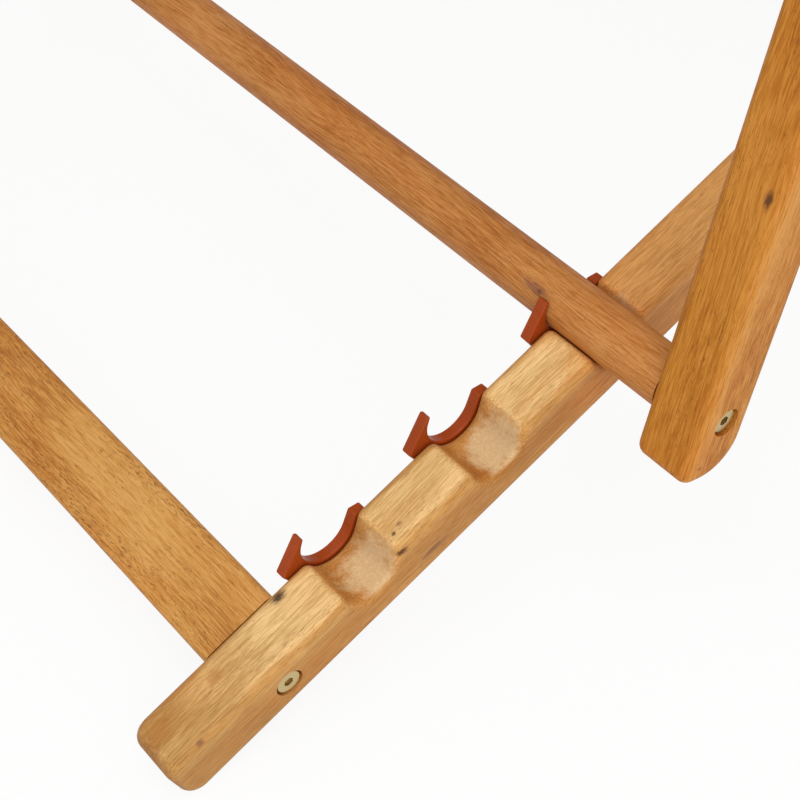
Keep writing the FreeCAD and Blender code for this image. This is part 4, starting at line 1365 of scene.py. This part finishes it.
@dataclass
class Sling:
    """The canvas: one sheet hung between two bars, with a sewn sleeve round each and hemmed sides.

    Lengths are in metres.

    Args:
        layout: Directions and places of the chair.
        finishes: The chair's finishes.
        slack: How much longer the cloth hangs than its bars are apart.
        width: Width of the cloth.
        cloth: Thickness of one layer.
        hem: Width of the folded side hems.
        hem_layers: Thickness of a hem, in layers.
        hem_steps: Columns of points in a hem, from its edge.
        hem_rim: Half the width of the step at a hem's inner side.
        hem_seam: Number of the column that a hem's stitches follow.
        clearance: Room between a sleeve and its bar.
        layer_gap: Distance of a flap from the cloth above it, in layers.
        seam_reach: Length of cloth from a bar's top to its sleeve's seam.
        seam_gap: Distance of the seam's two rows of stitches.
        flap: Width of cloth beyond that seam.
        belly: How much more cloth there is along the middle than along the sides, as a share.
        ripple: Height of the small waves that the cloth starts with.
        waves: Number of those waves.
        wave_turns: Turns of the first one across the width.
        wave_seed: Varies them.
        columns: Threads of the cloth while it settles.
        rows: Steps along each thread while it settles.
        fine_columns: Threads of the finished cloth from hem to hem.
        settling: Steps of settling.
        most_settling: The furthest that a point settles each way.
        weave: How the cloth settles.
        sleeve_counts: Points of a sleeve on its flap, from there to the bar, and round the bar.
        stitch: Sizes of a stitch.
        stitch_steps: Steps along a stitch.
        thread_sides: Flats round its thread.
    """

    BISECTIONS = 60
    FITS = 12
    LEAST_BEND, MOST_BEND = 1e-6, 6.0

    layout: Layout
    finishes: Finishes
    slack: float = 0.160
    width: float = 0.414
    cloth: float = 0.0010
    hem: float = 0.015
    hem_layers: float = 1.7
    hem_steps: Triple = (0.0, 0.005, 0.010)
    hem_rim: float = 0.0008
    hem_seam: int = 2
    clearance: float = 0.0004
    layer_gap: float = 1.12
    seam_reach: float = 0.034
    seam_gap: float = 0.005
    flap: float = 0.013
    belly: float = 0.005
    ripple: float = 0.0012
    waves: int = 6
    wave_turns: float = 0.7
    wave_seed: int = 7
    columns: int = 27
    rows: int = 91
    fine_columns: int = 49
    settling: int = 24
    most_settling: float = 0.012
    weave: dict[str, float] = field(default_factory=lambda: {
        "quality": 10, "mass": 0.05, "air_damping": 2.0, "tension_stiffness": 40.0,
        "compression_stiffness": 40.0, "shear_stiffness": 18.0, "bending_stiffness": 2.0,
    })
    sleeve_counts: tuple[int, int, int] = (4, 7, 26)
    stitch: dict[str, float] = field(default_factory=lambda: {
        "Pitch": 0.0038, "Length": 0.0028, "Thread radius": 0.00028, "Rise": 0.0006,
    })
    stitch_steps: int = 4
    thread_sides: int = 6

    def wrap_radius(self) -> float:
        """Radius of the cloth's middle round a bar."""
        low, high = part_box("front_sling_bar")
        return (high.z - low.z) / 2 + self.clearance + self.cloth / 2

    def bars(self) -> list[np.ndarray]:
        """The front and top bars in the side view."""
        return [np.array((bar.y, bar.z)) for bar in (self.layout.front_bar, self.layout.top_bar)]

    def hang_length(self) -> float:
        """Length of the cloth along its sides, from bar to bar."""
        front, top = self.bars()
        return self.slack + float(np.linalg.norm(top - front))

    def thread_length(self, share: float) -> float:
        """Length of the thread at a share of the width, most along the middle."""
        return self.hang_length() * (1 + self.belly * (1 - (2 * share - 1) ** 2))

    def catenary(self, start: np.ndarray, end: np.ndarray, length: float) -> Triple:
        """Scale, lowest place and base height of a thread hung between two points.

        Args:
            start: One end in the side view.
            end: The other end.
            length: Length of the thread.

        Returns:
            The curve's scale, the place of its lowest point and the height that it is measured from.
        """
        span, rise = end - start
        ratio = math.sqrt(length ** 2 - rise ** 2) / span
        low, high = self.LEAST_BEND, self.MOST_BEND
        for _ in range(self.BISECTIONS):
            middle = (low + high) / 2
            low, high = (middle, high) if math.sinh(middle) / middle < ratio else (low, middle)
        scale = span / (low + high)
        lowest = start[0] + span / 2 - scale * math.atanh(rise / length)
        return scale, lowest, start[1] - scale * math.cosh((start[0] - lowest) / scale)

    def hang(self, length: float, steps: int) -> tuple[np.ndarray, np.ndarray]:
        """A hanging thread in the side view.

        Args:
            length: Length of the thread from bar to bar.
            steps: Number of points, evenly spaced along it.

        Returns:
            Its points, and its normals on the sitter's side.
        """
        slopes = [0.0, 0.0]
        radius = self.wrap_radius()
        for _ in range(self.FITS):
            angles = [math.atan(slope) for slope in slopes]
            outs = [np.array((-math.sin(angle), math.cos(angle))) for angle in angles]
            ends = [bar + radius * out for bar, out in zip(self.bars(), outs)]
            scale, lowest, base = self.catenary(*ends, length)
            slopes = [math.sinh((end[0] - lowest) / scale) for end in ends]
        run = np.linspace(scale * slopes[0], scale * slopes[1], steps)
        along = lowest + scale * np.arcsinh(run / scale)
        points = np.stack((along, base + scale * np.cosh((along - lowest) / scale)), axis=1)
        angles = np.arctan(run / scale)
        return points, np.stack((-np.sin(angles), np.cos(angles)), axis=1)

    def sleeve(self, bar: np.ndarray, points: np.ndarray, normals: np.ndarray, step: float) -> np.ndarray:
        """A sleeve in the side view, from its flap's edge round the bar to the start of the hang.

        Args:
            bar: The bar's middle.
            points: The hang's points, from this bar on.
            normals: The hang's normals.
            step: Length of cloth from point to point.

        Returns:
            The sleeve's points, without the hang's first.
        """
        flap_count, tail_count, wrap_count = self.sleeve_counts
        radius = self.wrap_radius()
        reaches = np.linspace(self.seam_reach + self.flap, self.seam_reach, flap_count)
        under = self.layer_gap * self.cloth
        flap = resample(points, reaches / step) - under * resample(normals, reaches / step)
        out = normals[0]
        away = (points[1] - points[0]) / np.linalg.norm(points[1] - points[0])
        away = away - out * (away @ out)
        reach, lift = (flap[-1] - bar) @ away, (flap[-1] - bar) @ out
        leave = 2 * math.pi - math.atan2(reach, lift) - math.acos(radius / math.hypot(reach, lift))
        turns = np.linspace(leave, 0.0, wrap_count)[:, None]
        wrap = bar + radius * (np.cos(turns) * out - np.sin(turns) * away)
        shares = np.linspace(0.0, 1.0, tail_count + 1)[1:-1, None]
        tail = flap[-1] + shares * (wrap[0] - flap[-1])
        return np.concatenate((flap, tail, wrap[:-1]))

    def hung_grid(self) -> np.ndarray:
        """The hanging part of the cloth before it settles, as rows of points, with small seeded waves."""
        grid = np.zeros((self.rows, self.columns, 3))
        waves = np.random.default_rng(self.wave_seed).normal(size=(self.waves, 3))
        rows = np.linspace(0.0, 1.0, self.rows)
        for column, share in enumerate(np.linspace(0.0, 1.0, self.columns)):
            points, normals = self.hang(self.thread_length(share), self.rows)
            height = 0.0
            for k, (phase, drift, _) in enumerate(waves):
                across = math.cos(2 * math.pi * (k + 1) * share * self.wave_turns + phase)
                height = height + across * np.sin((k + 2) * math.pi * rows + drift)
            height = self.ripple * height / self.waves * np.sin(math.pi * rows)
            grid[:, column, 0] = (share - 0.5) * self.width
            grid[:, column, 1:] = points + height[:, None] * normals
        return grid

    def settle(self, grid: np.ndarray) -> np.ndarray:
        """The hanging cloth after it has settled under its own weight between its sleeves.

        Args:
            grid: Its points before, row by row.

        Returns:
            Its points after.
        """
        index = np.arange(self.rows * self.columns).reshape(self.rows, self.columns)
        mesh = bpy.data.meshes.new("sling_settling")
        mesh.from_pydata(grid.reshape(-1, 3).tolist(), [], quads_of(index).tolist())
        cloth = add_object("sling_settling", mesh)
        held_rows = self.held_rows()
        held = cloth.vertex_groups.new(name="held")
        held.add(np.concatenate((index[:held_rows], index[-held_rows:])).ravel().tolist(), 1.0, "REPLACE")
        modifier = cloth.modifiers.new("settle", "CLOTH")
        modifier.settings.vertex_group_mass = held.name
        for name, value in self.weave.items():
            setattr(modifier.settings, name, value)
        modifier.point_cache.frame_start = 1
        modifier.point_cache.frame_end = self.settling
        scene = bpy.context.scene
        for step in range(1, self.settling + 1):
            scene.frame_set(step)
        settled = cloth.evaluated_get(bpy.context.evaluated_depsgraph_get()).to_mesh()
        places = np.zeros(grid.size, np.float32)
        settled.vertices.foreach_get("co", places)
        scene.frame_set(1)
        bpy.data.objects.remove(cloth)
        moved = places.reshape(grid.shape).astype(float) - grid
        log.info("sling settles by up to %.1f mm", np.abs(moved).max() / MM)
        return grid + np.clip(moved, -self.most_settling, self.most_settling)

    def held_rows(self) -> int:
        """Rows of the hang at each end that are sewn to a flap and don't move."""
        step = self.hang_length() / (self.rows - 1)
        return math.ceil((self.seam_reach + self.flap) / step) + 1

    def fine_shares(self) -> np.ndarray:
        """Places across the width of the finished cloth, closer together at the hems."""
        edge = np.array((*self.hem_steps, self.hem - self.hem_rim, self.hem + self.hem_rim)) / self.width
        middle = np.linspace(edge[-1], 1 - edge[-1], self.fine_columns)[1:-1]
        return np.concatenate((edge, middle, 1 - edge[::-1]))

    def surface(self) -> tuple[np.ndarray, np.ndarray, int]:
        """The cloth's middle surface from flap to flap.

        Returns:
            Its points by row and column, its places along the cut, and the number of rows of one sleeve.
        """
        settled = self.settle(self.hung_grid())
        fine_rows = np.linspace(0, self.rows - 1, 2 * self.rows - 1)
        shares = self.fine_shares()
        threads = np.swapaxes(resample(settled, fine_rows), 0, 1)
        front, top = self.bars()
        columns = []
        for share, thread in zip(shares, resample(threads, shares * (self.columns - 1))):
            length = self.thread_length(share)
            points, normals = self.hang(length, len(thread))
            step = length / (len(thread) - 1)
            start = self.sleeve(front, points, normals, step)
            end = self.sleeve(top, points[::-1], normals[::-1], step)[::-1]
            columns.append(np.concatenate((start, thread[:, 1:], end)))
        side = np.stack(columns, axis=1)
        x = np.broadcast_to(((shares - 0.5) * self.width)[None, :, None], side.shape[:2] + (1,))
        grid = np.concatenate((x, side), axis=2)
        middle = grid[:, grid.shape[1] // 2]
        along = np.concatenate(([0.0], np.cumsum(np.linalg.norm(np.diff(middle, axis=0), axis=1))))
        return grid, along, len(start)

    @staticmethod
    def normals(grid: np.ndarray) -> np.ndarray:
        """Unit normals of the cloth's middle surface, on the sitter's side along the hang."""
        normals = np.cross(np.gradient(grid, axis=1), np.gradient(grid, axis=0))
        return normals / np.linalg.norm(normals, axis=2, keepdims=True)

    def thickness(self) -> np.ndarray:
        """Thickness of the cloth at each column, greater in the hems."""
        from_edge = np.minimum(self.fine_shares(), 1 - self.fine_shares()) * self.width
        return np.where(from_edge < self.hem, self.hem_layers * self.cloth, self.cloth)

    def build_cloth(self, grid: np.ndarray, normals: np.ndarray, along: np.ndarray) -> bpy.types.Object:
        """The cloth as a closed thin shell, with its flat measure as UV.

        Args:
            grid: Points of its middle surface.
            normals: Normals there.
            along: Places along the cut.

        Returns:
            The sling.
        """
        rows, columns, _ = grid.shape
        count = rows * columns
        half = self.thickness()[None, :, None] / 2
        points = np.concatenate([(grid + face.value * half * normals).reshape(-1, 3) for face in Face])
        index = np.arange(count).reshape(rows, columns)
        upper = quads_of(index)
        lower = upper[:, ::-1] + count
        rim = np.concatenate((index[0, :], index[1:, -1], index[-1, -2::-1], index[-2:0:-1, 0]))
        following = np.roll(rim, -1)
        sides = np.stack((rim, rim + count, following + count, following), axis=-1)
        faces = np.concatenate((upper, lower, sides))
        mesh = bpy.data.meshes.new("sling_cloth")
        mesh.from_pydata(points.tolist(), [], faces.tolist())
        across = self.fine_shares() * self.width
        flat = np.stack(np.broadcast_arrays(across[None, :], along[:, None]), axis=-1)
        flat = np.tile(flat.reshape(-1, 2), (2, 1))
        corners = np.zeros(len(mesh.loops), np.int32)
        mesh.loops.foreach_get("vertex_index", corners)
        mesh.uv_layers.new(name="flat").data.foreach_set("uv", flat[corners].astype(np.float32).ravel())
        mesh.polygons.foreach_set("use_smooth", np.ones(len(faces), bool))
        mesh.materials.append(self.finishes.canvas.paint("sling_canvas"))
        mesh.validate()
        return add_object("sling_cloth", mesh)

    def seam_lines(self, grid: np.ndarray, normals: np.ndarray, sleeve_rows: int) -> bpy.types.Mesh:
        """The lines that the stitches follow: two at each sleeve and one along each hem, on both faces.

        Args:
            grid: Points of the cloth's middle surface.
            normals: Normals there.
            sleeve_rows: Rows of one sleeve before the hang starts.

        Returns:
            The lines, with the cloth's normal at each point.
        """
        hang = slice(sleeve_rows, len(grid) - sleeve_rows)
        places, facing = grid[hang], normals[hang]
        step = self.hang_length() / (len(places) - 1)
        half = self.thickness() / 2
        points, outs, edges = [], [], []

        def add_line(line: np.ndarray, out: np.ndarray) -> None:
            """Adds one line of points and normals."""
            start = len(points)
            points.extend(line.tolist())
            outs.extend(out.tolist())
            edges.extend((start + k, start + k + 1) for k in range(len(line) - 1))

        seams = [reach / step for reach in (self.seam_reach, self.seam_reach + self.seam_gap)]
        rows = np.array(seams + [len(places) - 1 - seam for seam in seams])
        inner = slice(1, -1)
        for line, out in zip(resample(places, rows), resample(facing, rows)):
            out = out / np.linalg.norm(out, axis=1, keepdims=True)
            for face in Face:
                layers = half if face is Face.UPPER else half + self.layer_gap * self.cloth
                add_line((line + face.value * layers[:, None] * out)[inner], face.value * out[inner])
        open_run = slice(math.ceil(seams[1]) + 1, len(places) - math.ceil(seams[1]) - 1)
        for column in (self.hem_seam, places.shape[1] - 1 - self.hem_seam):
            for face in Face:
                out = face.value * facing[open_run, column]
                add_line(places[open_run, column] + half[column] * out, out)
        mesh = bpy.data.meshes.new("sling_seams")
        mesh.from_pydata(points, edges, [])
        store_vectors(mesh, "facing", outs)
        return mesh

    def stitch_tree(self) -> NodeTree:
        """A short arched stitch at every step of each line, flat on the cloth."""
        tree = NodeTree("sling_stitches", self.stitch)
        lines = tree.made("GeometryNodeMeshToCurve", {"Mesh": tree.size("Geometry")})
        pitch = {"Curve": lines, "Length": tree.size("Pitch")}
        steps = tree.made("GeometryNodeResampleCurve", pitch, mode="LENGTH")
        arch = tree.made("GeometryNodeCurveQuadraticBezier", {
            "Resolution": self.stitch_steps,
            "Start": tree.xyz(X=tree.times("Length", -0.5)),
            "Middle": tree.xyz(Z=tree.size("Rise")),
            "End": tree.xyz(X=tree.times("Length", 0.5)),
        })
        round_thread = {"Resolution": self.thread_sides, "Radius": tree.size("Thread radius")}
        ring = tree.made("GeometryNodeCurvePrimitiveCircle", round_thread, mode="RADIUS")
        swept = {"Curve": arch, "Profile Curve": ring, "Fill Caps": True}
        stitch = tree.made("GeometryNodeCurveToMesh", swept)
        run = tree.turned("X", tree.made("GeometryNodeInputTangent", {}))
        tree.scatter(steps, stitch, tree.turned("Z", tree.attribute("facing"), run, pivot="X"))
        return tree

    def build(self) -> None:
        """Hangs the cloth and sews it."""
        grid, along, sleeve_rows = self.surface()
        normals = self.normals(grid)
        cloth = self.build_cloth(grid, normals, along)
        log.info("sling_cloth: cut %.4f by %.4f m, %d faces", self.width, along[-1], len(cloth.data.polygons))
        thread = self.finishes.thread.paint("sling_thread")
        seams = self.seam_lines(grid, normals, sleeve_rows)
        stitches = self.stitch_tree().grow("sling_stitches", seams, thread)
        for piece in (cloth, stitches):
            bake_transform(piece)
        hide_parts("sling")


@dataclass
class Studio:
    """The pale floor, the soft light and the camera.

    Lengths are in metres, except for the lens and the sensor.

    Args:
        azimuth: The camera's direction round the chair, in degrees.
        elevation: The camera's height above the horizon, in degrees.
        lens: Focal length, in millimetres on the sensor.
        sensor: Width of the sensor, in millimetres.
        near_limit: The nearest that the camera sees.
        mark_right: How far right of the view's middle the front notch lies.
        mark_up: How far above the view's middle it lies.
        mark_ahead: How far ahead of the camera it lies.
        floor_size: Side of the floor.
        floor_white: How pale the floor's matt share is.
        floor_glow: The share of the floor that shows as plain white near the chair.
        floor_fade: Where the floor starts to fade to white, and where it has faded, from its middle.
        lamps: Place, size and power of each lamp.
        aim: Where the lamps point.
        surround: Strength of the surround as a light, and as it is seen.
    """

    azimuth: float = 230.6
    elevation: float = 45.5
    lens: float = 79.9
    sensor: float = 36.0
    near_limit: float = 0.01
    mark_right: float = 0.08910
    mark_up: float = 0.02496
    mark_ahead: float = 0.73010
    floor_size: float = 40.0
    floor_white: float = 0.9
    floor_glow: float = 0.9
    floor_fade: Pair = (1.0, 3.0)
    lamps: dict[str, tuple[Triple, float, float]] = field(default_factory=lambda: {
        "key": ((-0.6, 0.9, 2.6), 2.2, 36.0),
        "fill": ((-2.7, 1.4, 1.4), 2.4, 32.0),
        "front": ((1.2, -2.4, 1.8), 2.2, 16.0),
    })
    aim: Triple = (0.0, 0.1, 0.3)
    surround: Pair = (0.5, 1.0)

    def axes(self) -> tuple[Vector, Vector, Vector]:
        """The camera's right, up and back."""
        turn, tilt = math.radians(self.azimuth), math.radians(self.elevation)
        level = math.cos(tilt)
        back = Vector((math.sin(turn) * level, -math.cos(turn) * level, math.sin(tilt)))
        right = Vector((math.cos(turn), math.sin(turn), 0))
        return right, back.cross(right), back

    def place_camera(self, layout: Layout) -> None:
        """Puts the camera where it sees the rear right corner of the chair as pictured."""
        right, up, back = self.axes()
        outer_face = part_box("seat_rail_right")[0].x
        mark = Vector((outer_face, layout.dowel.y, layout.dowel.z))
        data = bpy.data.cameras.new("camera")
        data.lens = self.lens
        data.sensor_width = self.sensor
        data.clip_start = self.near_limit
        camera = add_object("camera", data)
        camera.location = mark - right * self.mark_right - up * self.mark_up + back * self.mark_ahead
        camera.rotation_euler = Matrix((right, up, back)).transposed().to_euler()
        bpy.context.scene.camera = camera

    @staticmethod
    def seen_directly(tree: bpy.types.NodeTree) -> Socket:
        """One for a ray from the camera, a mirror or a clear body, nought for light that falls on things."""
        path = add_node(tree, "ShaderNodeLightPath")
        seen = path.outputs["Is Camera Ray"]
        for name in ("Is Glossy Ray", "Is Transmission Ray"):
            either = add_node(tree, "ShaderNodeMath", operation="MAXIMUM")
            tree.links.new(seen, either.inputs[0])
            tree.links.new(path.outputs[name], either.inputs[1])
            seen = either.outputs[0]
        return seen

    def lay_floor(self) -> None:
        """A wide pale floor that looks white and keeps a soft shadow."""
        mesh = bpy.data.meshes.new("floor")
        half = self.floor_size / 2
        corners = [(-half, -half, 0), (half, -half, 0), (half, half, 0), (-half, half, 0)]
        mesh.from_pydata(corners, [], [(0, 1, 2, 3)])
        mesh.materials.append(self.floor_finish())
        add_object("floor", mesh)

    def floor_finish(self) -> bpy.types.Material:
        """White to the camera and to mirrors, with a share of plain matt that takes the shadow."""
        material = bpy.data.materials.new("floor_white")
        material.use_nodes = True
        tree = material.node_tree
        tree.nodes.clear()
        place = add_node(tree, "ShaderNodeTexCoord")
        away = add_node(tree, "ShaderNodeVectorMath", operation="LENGTH")
        white = add_node(tree, "ShaderNodeMapRange", interpolation_type="SMOOTHSTEP")
        for name, number in zip(("From Min", "From Max", "To Min"), (*self.floor_fade, self.floor_glow)):
            white.inputs[name].default_value = number
        share = add_node(tree, "ShaderNodeMath", operation="MULTIPLY")
        glow = add_node(tree, "ShaderNodeEmission")
        matt = add_node(tree, "ShaderNodeBsdfDiffuse")
        matt.inputs["Color"].default_value = (self.floor_white,) * 3 + (1.0,)
        both = add_node(tree, "ShaderNodeMixShader")
        output = add_node(tree, "ShaderNodeOutputMaterial")
        for source, target in (
            (place.outputs["Object"], away.inputs[0]),
            (away.outputs["Value"], white.inputs["Value"]),
            (self.seen_directly(tree), share.inputs[0]),
            (white.outputs["Result"], share.inputs[1]),
            (share.outputs[0], both.inputs["Fac"]),
            (matt.outputs[0], both.inputs[1]),
            (glow.outputs[0], both.inputs[2]),
            (both.outputs[0], output.inputs["Surface"]),
        ):
            tree.links.new(source, target)
        return material

    def light(self) -> None:
        """A soft overhead key, a broad fill from the camera's side and an even white surround."""
        for name, (place, size, power) in self.lamps.items():
            data = bpy.data.lights.new(name, "AREA")
            data.size = size
            data.energy = power
            lamp = add_object(name, data)
            lamp.location = place
            lamp.rotation_euler = (Vector(self.aim) - Vector(place)).to_track_quat("-Z", "Y").to_euler()
        world = bpy.data.worlds.new("surround")
        bpy.context.scene.world = world
        world.use_nodes = True
        tree = world.node_tree
        sky = tree.nodes["Background"]
        level = add_node(tree, "ShaderNodeMapRange")
        level.inputs["To Min"].default_value, level.inputs["To Max"].default_value = self.surround
        tree.links.new(self.seen_directly(tree), level.inputs["Value"])
        tree.links.new(level.outputs["Result"], sky.inputs["Strength"])
        sky.inputs["Color"].default_value = (1.0, 1.0, 1.0, 1.0)

    def build(self, layout: Layout) -> None:
        """Sets up the floor, the light and the camera."""
        bpy.context.scene.view_settings.view_transform = "Standard"
        self.lay_floor()
        self.light()
        self.place_camera(layout)


def main() -> None:
    """Dresses the chair piece by piece."""
    logging.basicConfig(level=logging.INFO, format="%(name)s: %(message)s")
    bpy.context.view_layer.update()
    layout = Layout()
    finishes = Finishes()
    for sub_assembly in (SeatFrame, BackFrame, PropFrame):
        sub_assembly(layout, finishes).dress()
    Hardware(layout, finishes).dress()
    Sling(layout, finishes).build()
    Studio().build(layout)


if __name__ == "__main__":
    main()
